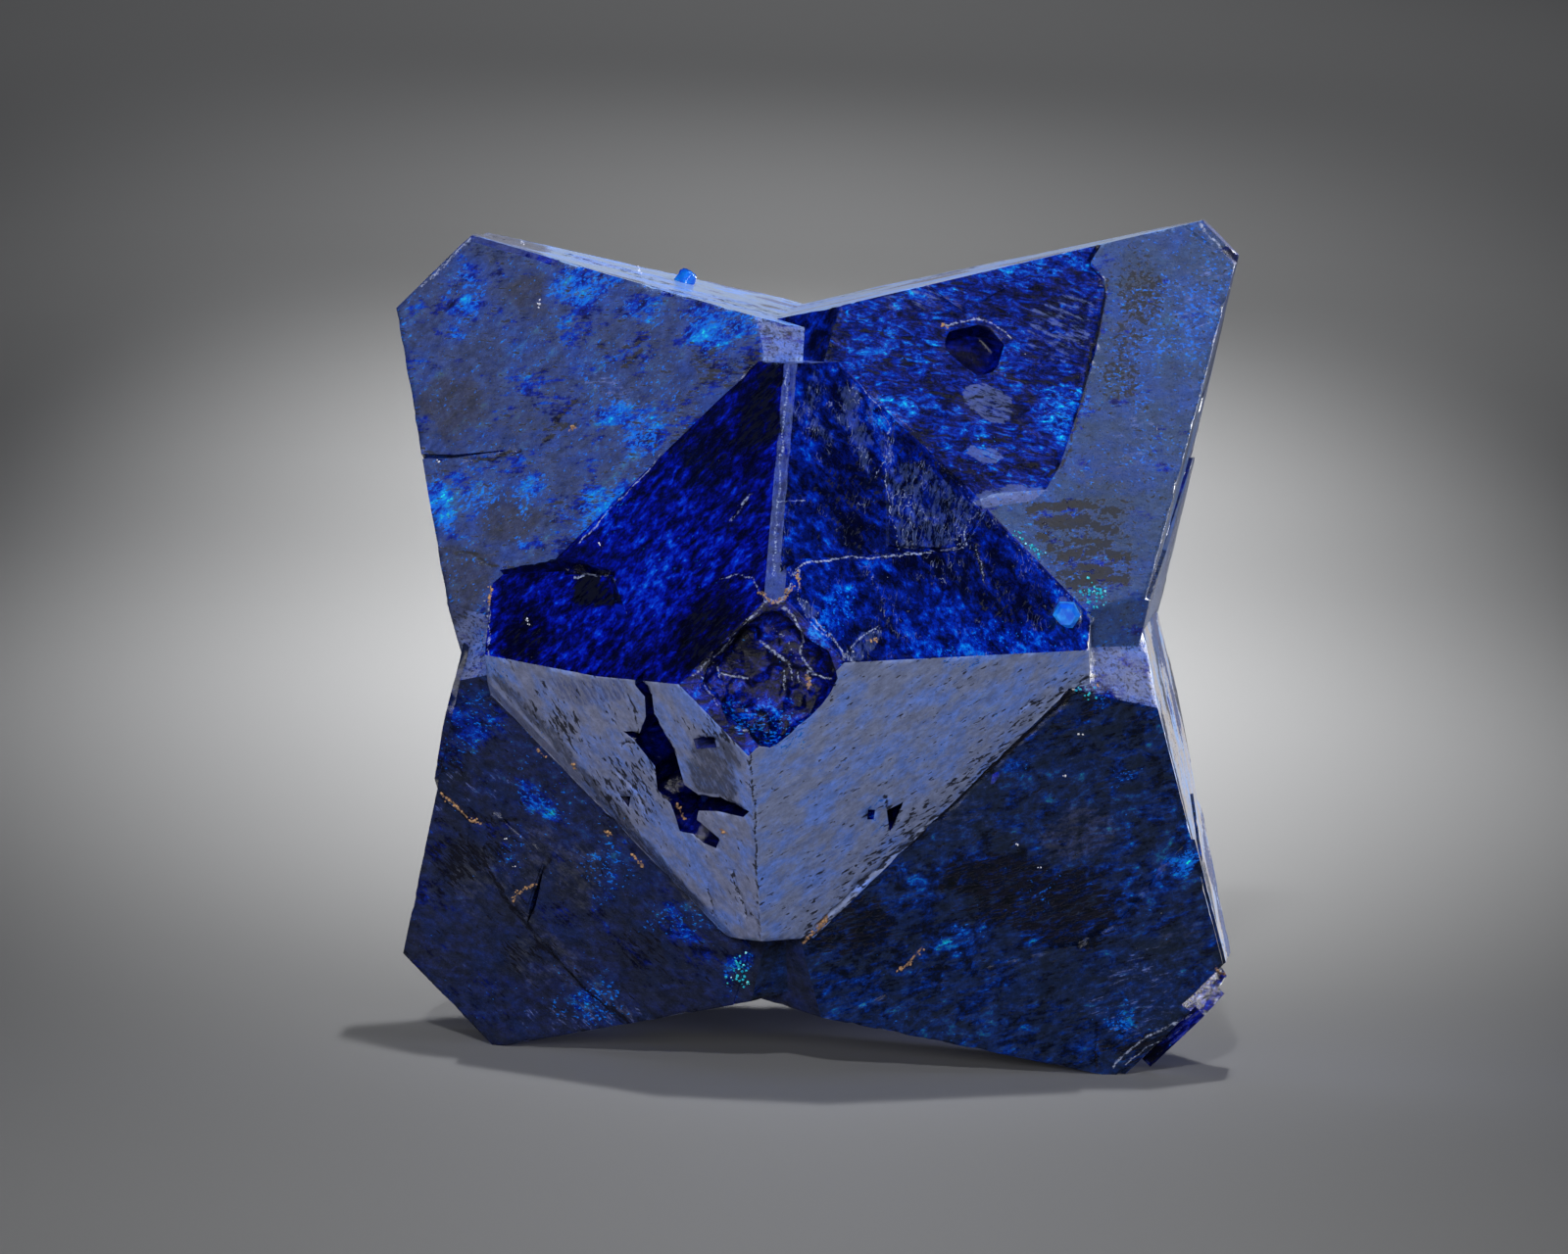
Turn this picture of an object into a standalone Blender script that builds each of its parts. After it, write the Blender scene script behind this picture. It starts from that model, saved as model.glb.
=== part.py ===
"""Cumengeite star: six tetragonal crystals grown outward from the six faces of a hidden cube.

The star stands on the worn ends of its two lower crystals. +Z is up and -Y faces the viewer.
The star is shaped in millimetres and scaled to metres at the end. It is one closed solid
named cumengeite_star.
"""

import math
from itertools import combinations

import bmesh
import bpy
from mathutils import Matrix, Vector, noise

METRES_PER_MM = 0.001

# Half the width of the hidden cube: every crystal starts on one face of it.
CUBE_HALF = 6.1

# Height over width of the mineral's unit cell, which fixes the slope of each pyramid face.
AXIAL_RATIO = 1.622

# Each crystal runs past the middle of the star by this much, so that all six overlap.
ROOT_DEPTH = 1.3

# The side walls of a crystal cut its four base corners at this distance from its axis.
CORNER_CUT = {
    "up_left": 7.75,
    "up_right": 7.7,
    "down_left": 7.66,
    "down_right": 7.82,
    "front": 7.55,
    "back": 7.68,
}

# Edge of the block that each crystal is cut from.
BLOCK = 60

# Height of the flat that standing has worn on the two lower tips, and how often the lean is
# worked out again, because a small turn can bring another corner lowest.
FOOT_WEAR = 0.06
LEAN_ROUNDS = 3

# How far a raised plate reaches down into the face below it, and a cutter above it.
SINK = 0.35
CLEAR = 0.4

# How far the outline of a flat plate is drawn above the plate.
PROUD = 0.2

# The hollow in a broken tip. A squareness of 2 would be round. The roughness and the ribs are
# parts of its radius, and a rib runs aslant: so many radians one way and the other.
SQUARENESS = 5
HOLLOW_ROUGHNESS = 0.2
HOLLOW_LUMPS = 2.3
HOLLOW_RIBS = 0.04
RIB_SLANT = (9, 6)

# Width of the block that breaks a layer off a tip.
LAYER_WIDTH = 8

# A tiny crystal has corners cut by this part of its width, and is raised by this part of it.
SMALL_CORNER = 0.2
SMALL_RISE = 0.2

# Two corners closer than this are one corner.
MERGE = 0.002

FACE_TILT = math.atan(AXIAL_RATIO)
DIAGONAL = math.sqrt(0.5)

TOWARDS = {
    "up_left": Vector((-DIAGONAL, 0, DIAGONAL)),
    "up_right": Vector((DIAGONAL, 0, DIAGONAL)),
    "down_left": Vector((-DIAGONAL, 0, -DIAGONAL)),
    "down_right": Vector((DIAGONAL, 0, -DIAGONAL)),
    "front": Vector((0, -1, 0)),
    "back": Vector((0, 1, 0)),
}

# Distance in millimetres from the middle of the star to the flat end of each crystal.
REACH = {
    "up_left": 13.5,
    "up_right": 14.9,
    "down_left": 12.8,
    "down_right": 13.9,
    "front": 13.6,
    "back": 13.4,
}

# How many millimetres a face stands out from its ideal place, as (crystal, side it leans to).
FACE_SHIFT = {
    ("up_left", "down_left"): -0.13,
    ("up_left", "up_right"): -0.21,
    ("up_left", "front"): 0.13,
    ("up_right", "down_right"): -0.11,
    ("up_right", "up_left"): 0.06,
    ("up_right", "front"): -0.08,
    ("up_right", "back"): 0.09,
    ("down_left", "up_left"): -0.36,
    ("down_left", "down_right"): -0.13,
    ("down_left", "front"): 0.04,
    ("down_right", "up_right"): 0.34,
    ("down_right", "down_left"): 0.29,
    ("down_right", "front"): -0.11,
    ("front", "up_left"): 0.02,
    ("front", "up_right"): -0.04,
    ("front", "down_right"): -0.42,
    ("front", "down_left"): 0.24,
    ("back", "up_left"): -0.12,
    ("back", "up_right"): 0.14,
    ("back", "down_right"): 0.05,
    ("back", "down_left"): -0.2,
}

# Strips along the foot of a face that are steeper than it: how far up the strip goes, and by
# how many degrees it is steeper.
STEEP_FEET = {
    ("front", "down_left"): (0.9, 12),
    ("back", "up_right"): (0.7, 10),
}

# Corner cuts that lie further out or in, as (crystal, the two sides between).
CORNER_SHIFT = {
    ("up_left", "front", "up_right"): 0.18,
    ("up_right", "front", "up_left"): 0.06,
    ("up_right", "down_right", "front"): -0.35,
    ("down_right", "front", "up_right"): -0.08,
    ("down_left", "front", "up_left"): 0.42,
    ("down_left", "down_right", "front"): 0.26,
    ("down_right", "down_left", "front"): 0.15,
    ("front", "down_left", "down_right"): -0.53,
    ("front", "down_left", "up_left"): 0.08,
    ("back", "down_left", "up_left"): -0.4,
}


def sides_of(crystal):
    """The four directions that the faces of a crystal lean to."""
    axis = TOWARDS[crystal]
    return [name for name, way in TOWARDS.items() if abs(axis.dot(way)) < 0.5]


def face_normal(crystal, side):
    """The outward direction of a pyramid face."""
    return TOWARDS[side] * math.sin(FACE_TILT) + TOWARDS[crystal] * math.cos(FACE_TILT)


def face_foot(crystal, side):
    """The middle of the lower edge of a pyramid face, on an edge of the hidden cube."""
    corner = (TOWARDS[crystal] + TOWARDS[side]) * CUBE_HALF
    return corner + face_normal(crystal, side) * FACE_SHIFT.get((crystal, side), 0)


def on_face(crystal, side, across, climb, height=0.0):
    """A place on a pyramid face, in millimetres across it, up it to the tip, and out from it."""
    axis, lean = TOWARDS[crystal], TOWARDS[side]
    across_way = axis.cross(lean)
    climb_way = axis * math.sin(FACE_TILT) - lean * math.cos(FACE_TILT)
    step = across_way * across + climb_way * climb + face_normal(crystal, side) * height
    return face_foot(crystal, side) + step


def ridge_line(crystal, first, second):
    """The edge between two pyramid faces: a point on it at the foot, and its way to the tip."""
    one, two = face_normal(crystal, first), face_normal(crystal, second)
    way = one.cross(two).normalized()
    if way.dot(TOWARDS[crystal]) < 0:
        way = -way
    level = TOWARDS[crystal]
    planes = Matrix((one, two, level))
    heights = Vector((
        one.dot(face_foot(crystal, first)),
        two.dot(face_foot(crystal, second)),
        CUBE_HALF,
    ))
    return planes.inverted() @ heights, way


def cut_off(solid, point, normal):
    """Slice off all that lies beyond a plane, and close the cut with one flat face."""
    everything = solid.verts[:] + solid.edges[:] + solid.faces[:]
    cut = bmesh.ops.bisect_plane(
        solid, geom=everything, plane_co=point, plane_no=normal, clear_outer=True, dist=1e-6
    )
    rim = [part for part in cut["geom_cut"] if isinstance(part, bmesh.types.BMEdge)]
    if rim:
        bmesh.ops.contextual_create(solid, geom=rim)


def make_object(name, solid):
    """Turn a bmesh into an object of the scene, with its faces pointing out."""
    bmesh.ops.recalc_face_normals(solid, faces=solid.faces[:])
    mesh = bpy.data.meshes.new(name)
    solid.to_mesh(mesh)
    solid.free()
    made = bpy.data.objects.new(name, mesh)
    bpy.context.scene.collection.objects.link(made)
    return made


def crystal_block(crystal, lifted_side=None, lift=0.0):
    """One crystal: four pyramid faces, four narrow side walls and a flat end.

    One of its faces may be lifted, which gives the body that a growth plate belongs to.
    """
    axis = TOWARDS[crystal]
    solid = bmesh.new()
    bmesh.ops.create_cube(solid, size=BLOCK)
    for side in sides_of(crystal):
        normal = face_normal(crystal, side)
        out = normal * lift if side == lifted_side else Vector()
        cut_off(solid, face_foot(crystal, side) + out, normal)
        if (crystal, side) in STEEP_FEET:
            climb, steeper = STEEP_FEET[crystal, side]
            turn = Matrix.Rotation(math.radians(steeper), 3, axis.cross(TOWARDS[side]))
            cut_off(solid, on_face(crystal, side, 0, climb) + out, turn @ normal)
    for pair in combinations(sides_of(crystal), 2):
        between = TOWARDS[pair[0]] + TOWARDS[pair[1]]
        if between.length > 1:
            wall = CORNER_CUT[crystal] + CORNER_SHIFT.get((crystal, *sorted(pair)), 0)
            cut_off(solid, between.normalized() * wall, between.normalized())
    cut_off(solid, axis * REACH[crystal], axis)
    cut_off(solid, -axis * ROOT_DEPTH, -axis)
    return make_object(crystal, solid)


def combine(body, tool, operation):
    """Join the star with another closed solid, or cut it with one, and drop that solid.

    The exact solver leaves open edges where the planes of many crystals nearly coincide, so
    the solver for closed solids is used.
    """
    step = body.modifiers.new(operation.lower(), "BOOLEAN")
    step.operation = operation
    step.solver = "MANIFOLD"
    step.object = tool
    graph = bpy.context.evaluated_depsgraph_get()
    result = bpy.data.meshes.new_from_object(body.evaluated_get(graph))
    body.modifiers.clear()
    body.data = result
    bpy.data.objects.remove(tool)
    solid = bmesh.new()
    solid.from_mesh(result)
    bmesh.ops.remove_doubles(solid, verts=solid.verts[:], dist=MERGE)
    bmesh.ops.dissolve_degenerate(solid, edges=solid.edges[:], dist=MERGE)
    bmesh.ops.triangulate(solid, faces=solid.faces[:])
    solid.to_mesh(result)
    solid.free()


def face_prism(crystal, side, outline, low, shrink=1.0):
    """A solid over an outline on a face.

    Each corner is (across, up, out) in millimetres; low is the height of the other end, which
    is drawn to its middle by shrink.
    """
    solid = bmesh.new()
    middle = [sum(corner[i] for corner in outline) / len(outline) for i in range(2)]
    top = [solid.verts.new(on_face(crystal, side, *corner)) for corner in outline]
    base = []
    for across, up, _ in outline:
        across = middle[0] + (across - middle[0]) * shrink
        up = middle[1] + (up - middle[1]) * shrink
        base.append(solid.verts.new(on_face(crystal, side, across, up, low)))
    solid.faces.new(top)
    solid.faces.new(base)
    for here in range(len(top)):
        after = (here + 1) % len(top)
        solid.faces.new((top[here], top[after], base[after], base[here]))
    bmesh.ops.triangulate(solid, faces=solid.faces[:], ngon_method="EAR_CLIP")
    return make_object("prism", solid)


def add_plate(star, crystal, side, outline, rise):
    """A growth plate: a raised part of a face with a crisp edge, trimmed by the faces beside it."""
    corners = [(corner + (rise + PROUD,))[:3] for corner in outline]
    plate = crystal_block(crystal, side, rise)
    combine(plate, face_prism(crystal, side, corners, -SINK), "INTERSECT")
    combine(star, plate, "UNION")


def cut_pit(star, crystal, side, outline, depth, shrink=0.6):
    """A pit or an open crack, narrower at its floor."""
    corners = [(across, up, CLEAR) for across, up in outline]
    combine(star, face_prism(crystal, side, corners, -depth, shrink), "DIFFERENCE")


def bevel_ridge(star, crystal, first, second, start, stop, width):
    """Plane off the ridge between two faces, from start to stop millimetres up from its foot."""
    foot, way = ridge_line(crystal, first, second)
    one, two = face_normal(crystal, first), face_normal(crystal, second)
    outward = (one + two).normalized()
    across = way.cross(outward)
    half_angle = one.angle(two) / 2
    depth = width / 2 * math.tan(half_angle)
    solid = bmesh.new()
    size = Vector((2 * width, (stop - start), 2 * CLEAR))
    bmesh.ops.create_cube(solid, size=1.0)
    bmesh.ops.scale(solid, vec=size, verts=solid.verts[:])
    middle = foot + way * (start + stop) / 2 + outward * (size.z / 2 - depth)
    turn = Matrix((across, way, outward)).transposed().to_4x4()
    bmesh.ops.transform(solid, matrix=Matrix.Translation(middle) @ turn, verts=solid.verts[:])
    combine(star, make_object("bevel", solid), "DIFFERENCE")


def step_tip(star, crystal, turn, inset, drop):
    """Break a layer off one side of a flat end.

    The break faces the direction turn, in degrees round the axis. It starts inset millimetres
    from the axis, and takes away the last drop millimetres of the reach.
    """
    axis = TOWARDS[crystal]
    first = TOWARDS[sides_of(crystal)[0]]
    way = Matrix.Rotation(math.radians(turn), 3, axis) @ first
    solid = bmesh.new()
    bmesh.ops.create_cube(solid, size=LAYER_WIDTH)
    out, up = inset + LAYER_WIDTH / 2, REACH[crystal] - drop + LAYER_WIDTH / 2
    frame = Matrix((way, axis.cross(way), axis)).transposed().to_4x4()
    place = Matrix.Translation(way * out + axis * up)
    bmesh.ops.transform(solid, matrix=place @ frame, verts=solid.verts[:])
    combine(star, make_object("step", solid), "DIFFERENCE")


def hollow_tip(star, crystal, radius, depth, offset, seed):
    """Break the end of a crystal into a rough, square hollow with curved ribs."""
    axis = TOWARDS[crystal]
    side = TOWARDS[sides_of(crystal)[0]]
    other = axis.cross(side)
    solid = bmesh.new()
    bmesh.ops.create_icosphere(solid, subdivisions=3, radius=1.0)
    for vert in solid.verts:
        way = vert.co.normalized()
        boxy = sum(abs(part) ** SQUARENESS for part in way) ** (-1 / SQUARENESS)
        rough = HOLLOW_ROUGHNESS * noise.noise(way * HOLLOW_LUMPS + Vector((seed, 0, 0)))
        rib = HOLLOW_RIBS * math.sin(RIB_SLANT[0] * way.x + RIB_SLANT[1] * way.y + seed)
        vert.co = way * (boxy + rough + rib)
    frame = Matrix((side * radius, other * radius, axis * depth)).transposed().to_4x4()
    middle = axis * REACH[crystal] + side * offset[0] + other * offset[1]
    bmesh.ops.transform(solid, matrix=Matrix.Translation(middle) @ frame, verts=solid.verts[:])
    combine(star, make_object("hollow", solid), "DIFFERENCE")


def add_small_crystal(star, crystal, side, place, size, spin):
    """A tiny block-shaped crystal grown onto a face: place is (across, up) in millimetres."""
    solid = bmesh.new()
    bmesh.ops.create_cube(solid, size=1.0)
    bmesh.ops.bevel(
        solid, geom=solid.edges[:], offset=SMALL_CORNER, offset_type="OFFSET",
        affect="EDGES", segments=1, profile=0.5, material=-1,
    )
    bmesh.ops.scale(solid, vec=Vector(size), verts=solid.verts[:])
    normal = face_normal(crystal, side)
    across = TOWARDS[crystal].cross(TOWARDS[side])
    frame = Matrix((across, normal.cross(across), normal)).transposed()
    frame = frame @ Matrix.Rotation(math.radians(spin), 3, "Z")
    frame = frame @ Matrix.Rotation(math.radians(spin / 2), 3, "X")
    spot = Matrix.Translation(on_face(crystal, side, *place, size[2] * SMALL_RISE))
    bmesh.ops.transform(solid, matrix=spot @ frame.to_4x4(), verts=solid.verts[:])
    combine(star, make_object("small", solid), "UNION")


# Raised plates: crystal, side, outline as (across, up) or (across, up, out), height.
PLATES = (
    # The thick block on the left foot of the front crystal, which thins out to the tip.
    ("front", "up_left", ((5.9, 0.2, 0.42), (4.4, -1.3, 0.42), (2.15, 1.2, 0.42),
                          (1.5, 2.6, 0.08), (1.9, 5.2, -0.02), (2.9, 7.0, -0.1),
                          (6.2, 1.8, 0.42)), 0.42),
    # The broad lower plate on the right of the front crystal.
    ("front", "up_right", ((1.6, 7.0), (-0.95, 2.0), (-0.95, 1.4), (-0.6, -0.7),
                           (-5.0, -0.6), (-5.7, 1.0), (-1.6, 9.0), (1.9, 9.0)), 0.13),
    ("front", "up_right", ((2.5, 0.0), (1.6, 1.9), (0.35, 3.9), (-0.9, 1.9),
                           (-0.9, 1.4), (-0.6, -0.3)), 0.07),
    # The smooth band on the right of the upper right crystal, round the etched bay.
    ("up_right", "front", ((-2.2, 9.6), (-2.25, 7.6), (-1.9, 7.1), (-1.4, 7.1), (-1.05, 6.8),
                           (-0.2, 5.4), (0.6, 3.8), (1.2, 2.5), (1.4, 1.7), (0.5, 0.5),
                           (0.2, -0.6), (5.6, -0.6), (5.6, 1.6), (2.5, 10.6)), 0.12),
    ("up_right", "front", ((-4.4, 3.4), (-4.0, 4.6), (-3.0, 5.0), (-3.3, 3.6)), 0.06),
    # The thicker base part of the lower left crystal, ending in two ledges.
    ("down_left", "front", ((4.5, -0.4), (5.4, 1.6), (3.8, 3.3), (2.8, 3.2), (2.4, 3.8),
                            (0.4, 4.1), (-0.9, 4.2), (-2.1, 4.3), (-4.4, 4.1),
                            (-5.4, 1.6), (-4.5, -0.4)), 0.13),
    ("down_left", "front", ((2.5, 2.4), (2.0, 3.5), (0.2, 3.7), (0.8, 2.2)), 0.19),
    ("down_left", "up_left", ((-5.2, -0.4), (-5.4, 1.8), (-3.6, 3.4), (-1.2, 3.9),
                              (2.6, 3.2), (5.6, 2.0), (5.2, -0.4)), 0.19),
    # The smoother outer part of the lower right crystal, past its wavy, etched middle.
    ("down_right", "front", ((6.0, 1.2), (4.25, 2.0), (3.4, 2.6), (3.1, 3.15), (2.0, 3.55),
                             (0.9, 4.3), (0.0, 5.0), (-1.05, 5.3), (-1.95, 5.25),
                             (-2.75, 5.05), (-3.6, 5.0), (-2.4, 9.9), (2.2, 9.9),
                             (3.6, 6.6)), 0.07),
    # Hidden side: terraces on the back crystal and on the backs of the four others.
    ("back", "up_left", ((-1.4, 7.2), (1.2, 2.3), (0.8, -0.5), (5.0, -0.5), (5.6, 1.3),
                         (1.4, 8.6)), 0.14),
    ("back", "down_right", ((-4.9, 0.9), (-2.6, 4.7), (0.9, 5.5), (3.6, 3.2), (3.0, -0.6),
                            (-4.6, -0.6)), 0.1),
    ("back", "up_right", ((0.4, 8.4), (2.6, 5.6), (5.5, 1.2), (4.3, -0.6), (1.9, 1.3)), 0.12),
    ("up_left", "back", ((-5.3, 1.4), (-1.7, 4.0), (2.2, 3.8), (5.3, 1.7), (4.6, -0.5),
                         (-4.6, -0.5)), 0.12),
    ("up_right", "back", ((-0.9, 9.9), (0.7, 5.3), (3.0, 4.8), (4.4, 4.3), (2.4, 9.9)), 0.13),
    ("down_left", "back", ((-5.3, 1.4), (-3.6, 4.4), (-0.3, 3.1), (0.7, -0.5),
                           (-4.6, -0.5)), 0.12),
    ("down_right", "back", ((-2.9, 7.4), (-0.2, 4.8), (2.6, 4.6), (4.4, 4.9), (2.6, 8.6)), 0.12),
    ("up_right", "down_right", ((-5.3, 1.6), (-1.1, 2.7), (1.6, 5.0), (4.0, 4.9),
                                (5.6, 1.7), (5.0, -0.5), (-5.0, -0.5)), 0.1),
    ("down_right", "up_right", ((-3.9, 4.6), (-0.6, 3.9), (2.0, 5.6), (4.0, 4.4),
                                (2.6, 8.6), (-2.2, 8.6)), 0.08),
)

# Pits and cracks: crystal, side, outline as (across, up), depth, width of the floor.
PITS = (
    # The six-sided pit in the etched bay.
    ("up_right", "front", ((-3.2, 2.6), (-3.3, 2.9), (-2.85, 3.75), (-2.55, 3.95),
                           (-1.9, 3.9), (-1.6, 3.3), (-1.55, 3.0), (-1.8, 2.55),
                           (-2.3, 2.45), (-3.0, 2.4)), 0.5, 0.7),
    # The chip in the upper edge, beside the smooth band.
    ("up_right", "front", ((-2.75, 7.1), (-2.6, 8.3), (-2.2, 8.3), (-1.9, 7.1)), 0.35, 0.7),
    # The long fissure across the left lower face of the front crystal.
    ("front", "down_left", ((-2.6, 7.5), (-2.4, 6.95), (-2.0, 6.9), (-1.6, 6.1), (-1.4, 5.1),
                            (-1.75, 4.5), (-1.4, 4.6), (-0.5, 4.4), (0.0, 3.5), (0.5, 3.5),
                            (0.85, 3.15), (1.2, 2.7), (1.5, 3.2), (1.85, 3.25), (2.2, 3.6),
                            (2.05, 4.15), (1.3, 3.95), (1.15, 4.4), (1.5, 5.2), (2.1, 6.1),
                            (2.1, 6.6), (1.3, 5.9), (0.85, 5.1), (0.4, 4.9), (0.0, 5.4),
                            (-0.5, 6.0), (-0.95, 6.2), (-1.5, 6.6), (-1.9, 7.3)), 0.9, 0.82),
    ("front", "down_left", ((-0.65, 1.7), (-0.35, 2.25), (-0.1, 1.6)), 0.3, 0.4),
    ("front", "down_left", ((-0.35, 7.0), (0.05, 8.2), (0.35, 7.8), (-0.05, 6.7)), 0.4, 0.6),
    ("front", "down_right", ((-0.75, 2.7), (-0.2, 2.35), (-0.8, 1.9), (-1.25, 1.6)), 0.5, 0.5),
    ("front", "down_right", ((-1.0, 3.3), (-0.85, 3.0), (-1.15, 2.6), (-1.3, 2.9)), 0.3, 0.5),
    ("front", "up_left", ((2.55, 1.35), (1.5, 3.0), (1.35, 2.85), (2.35, 1.15)), 0.15, 0.8),
    # Hairline crack of the upper left crystal, opened a little at its edge.
    ("up_left", "front", ((-3.75, 5.35), (-2.7, 4.16), (-1.4, 2.95), (-2.72, 4.04),
                          (-3.8, 5.15)), 0.3, 0.8),
    ("down_left", "front", ((0.7, 2.3), (0.2, 3.6), (-0.2, 4.35), (0.05, 3.55)), 0.3, 0.8),
    # Hidden side.
    ("back", "down_left", ((-2.3, 5.8), (-1.0, 5.2), (0.3, 3.6), (1.4, 3.3), (1.8, 2.4),
                           (0.7, 2.6), (-0.5, 3.2), (-1.6, 4.6), (-2.6, 5.0)), 0.6, 0.75),
    ("back", "up_right", ((-2.2, 2.1), (-1.3, 3.0), (-0.6, 2.2), (-1.3, 1.5)), 0.4, 0.6),
    ("up_left", "back", ((-0.6, 5.7), (0.3, 6.6), (1.1, 6.2), (0.9, 5.3), (0.1, 5.0)), 0.4, 0.65),
    ("down_right", "back", ((0.6, 1.7), (1.5, 2.4), (2.4, 1.8), (1.6, 1.0)), 0.35, 0.6),
    ("up_right", "back", ((-2.6, 2.4), (-1.7, 3.1), (-1.1, 2.2), (-2.0, 1.5)), 0.35, 0.6),
    ("up_right", "down_right", ((-0.5, 6.8), (0.3, 7.3), (0.8, 6.6), (0.1, 6.1)), 0.3, 0.6),
)

# Ridges planed off: crystal, the two faces, start and stop up the ridge, width.
BEVELS = (
    ("front", "up_left", "up_right", 0.5, 14.0, 0.34),
    ("up_left", "up_right", "front", 7.1, 13.0, 0.25),
    ("back", "up_left", "up_right", 1.0, 8.0, 0.3),
    ("down_right", "back", "up_right", 4.0, 9.0, 0.35),
    ("down_left", "back", "up_left", 2.0, 7.5, 0.3),
    ("up_right", "back", "up_left", 5.5, 12.5, 0.4),
)

# Layers broken off the flat ends: crystal, direction in degrees, inset, height.
TIP_STEPS = (
    ("down_right", 20, 1.1, 0.62),
    ("down_right", 205, 0.95, 0.5),
    ("down_right", 110, 0.75, 0.34),
    ("down_right", -65, 1.15, 0.22),
    ("down_right", 250, 0.35, 0.16),
    ("up_left", 25, 1.1, 0.14),
    ("up_right", 160, 0.35, 0.18),
    ("back", -30, 1.2, 0.45),
)

# Tiny crystals grown on the faces: crystal, side, (across, up), size, turn in degrees.
SMALL_CRYSTALS = (
    ("front", "up_right", (-4.0, 0.5), (0.72, 0.72, 0.5), 20),
    ("up_left", "up_right", (1.4, 3.4), (0.6, 0.4, 0.5), 35),
    ("up_right", "front", (5.0, 0.1), (0.4, 0.3, 0.3), 50),
    ("up_right", "front", (4.5, 0.0), (0.3, 0.3, 0.25), 15),
    ("front", "down_right", (1.6, 0.15), (0.5, 0.4, 0.25), 30),
    ("front", "down_right", (0.9, 0.1), (0.35, 0.3, 0.2), 65),
    ("back", "down_right", (2.4, 0.3), (0.7, 0.5, 0.5), 25),
    ("down_left", "back", (1.6, 2.4), (0.6, 0.6, 0.4), 40),
    ("up_left", "back", (-3.0, 0.6), (0.45, 0.4, 0.35), 10),
)


def lean_of(star):
    """How far the star must turn about Y for both lower tips to touch the ground."""
    feet = []
    for hand in (-1, 1):
        points = [vert.co for vert in star.data.vertices if vert.co.x * hand > CUBE_HALF / 2]
        feet.append(min(points, key=lambda point: point.z))
    left, right = feet
    return math.atan2(right.z - left.z, right.x - left.x)


def stand_up(star):
    """Turn the star onto its two lower tips, wear them flat and put the origin under it."""
    for _ in range(LEAN_ROUNDS):
        star.data.transform(Matrix.Rotation(lean_of(star), 4, "Y"))
    lowest = min(vert.co.z for vert in star.data.vertices)
    ground = bmesh.new()
    bmesh.ops.create_cube(ground, size=BLOCK)
    rise = Vector((0, 0, lowest + FOOT_WEAR - BLOCK / 2))
    bmesh.ops.translate(ground, vec=rise, verts=ground.verts[:])
    combine(star, make_object("ground", ground), "DIFFERENCE")
    corners = [vert.co for vert in star.data.vertices]
    low = [min(corner[i] for corner in corners) for i in range(3)]
    high = [max(corner[i] for corner in corners) for i in range(3)]
    middle = Vector(((low[0] + high[0]) / 2, (low[1] + high[1]) / 2, low[2]))
    star.data.transform(Matrix.Translation(-middle))


def drop_crumbs(solid):
    """Delete the small pieces that the breaks have cut loose from the star."""
    loose = set(solid.faces)
    pieces = []
    while loose:
        piece, edge_of_piece = set(), [loose.pop()]
        while edge_of_piece:
            face = edge_of_piece.pop()
            piece.add(face)
            beside = {other for edge in face.edges for other in edge.link_faces} & loose
            loose -= beside
            edge_of_piece.extend(beside)
        pieces.append(piece)
    pieces.sort(key=len)
    for piece in pieces[:-1]:
        bmesh.ops.delete(solid, geom=list(piece), context="FACES")


def tidy_mesh(star):
    """Merge corners that nearly touch, and flatten what lies in one plane."""
    solid = bmesh.new()
    solid.from_mesh(star.data)
    bmesh.ops.remove_doubles(solid, verts=solid.verts[:], dist=MERGE)
    bmesh.ops.dissolve_degenerate(solid, edges=solid.edges[:], dist=MERGE)
    drop_crumbs(solid)
    bmesh.ops.dissolve_limit(
        solid, angle_limit=math.radians(0.05), verts=solid.verts[:], edges=solid.edges[:]
    )
    bmesh.ops.triangulate(solid, faces=solid.faces[:], ngon_method="BEAUTY")
    bmesh.ops.recalc_face_normals(solid, faces=solid.faces[:])
    solid.to_mesh(star.data)
    solid.free()


def cumengeite_finish():
    """The deep blue, glossy mineral."""
    finish = bpy.data.materials.new("cumengeite")
    finish.use_nodes = True
    shader = finish.node_tree.nodes["Principled BSDF"]
    shader.inputs["Base Color"].default_value = (0.012, 0.03, 0.24, 1)
    shader.inputs["Roughness"].default_value = 0.22
    shader.inputs["Metallic"].default_value = 0.0
    shader.inputs["IOR"].default_value = 2.0
    return finish


def build_star():
    """Join the six crystals, shape their faces and stand the star up."""
    names = list(TOWARDS)
    star = crystal_block(names[0])
    for name in names[1:]:
        combine(star, crystal_block(name), "UNION")
    for plate in PLATES:
        add_plate(star, *plate)
    for bevel in BEVELS:
        bevel_ridge(star, *bevel)
    for pit in PITS:
        cut_pit(star, *pit)
    for layer in TIP_STEPS:
        step_tip(star, *layer)
    hollow_tip(star, "front", 1.4, 0.85, (0.0, 0.0), 3.0)
    for small in SMALL_CRYSTALS:
        add_small_crystal(star, *small)
    stand_up(star)
    tidy_mesh(star)
    star.data.transform(Matrix.Scale(METRES_PER_MM, 4))
    star.name = star.data.name = "cumengeite_star"
    star.data.materials.clear()
    star.data.materials.append(cumengeite_finish())


for leftover in list(bpy.data.objects):
    bpy.data.objects.remove(leftover)

build_star()
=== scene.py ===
"""Cumengeite star: six deep blue crystals grown together, standing on a pale studio floor.

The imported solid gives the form. A finely divided copy of it takes the relief of the real
faces, every kind of face has its own finish, and clay, dust and tiny crystals sit on it.
"""

import logging
import math
import random
from dataclasses import dataclass, field
from enum import Enum

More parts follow.
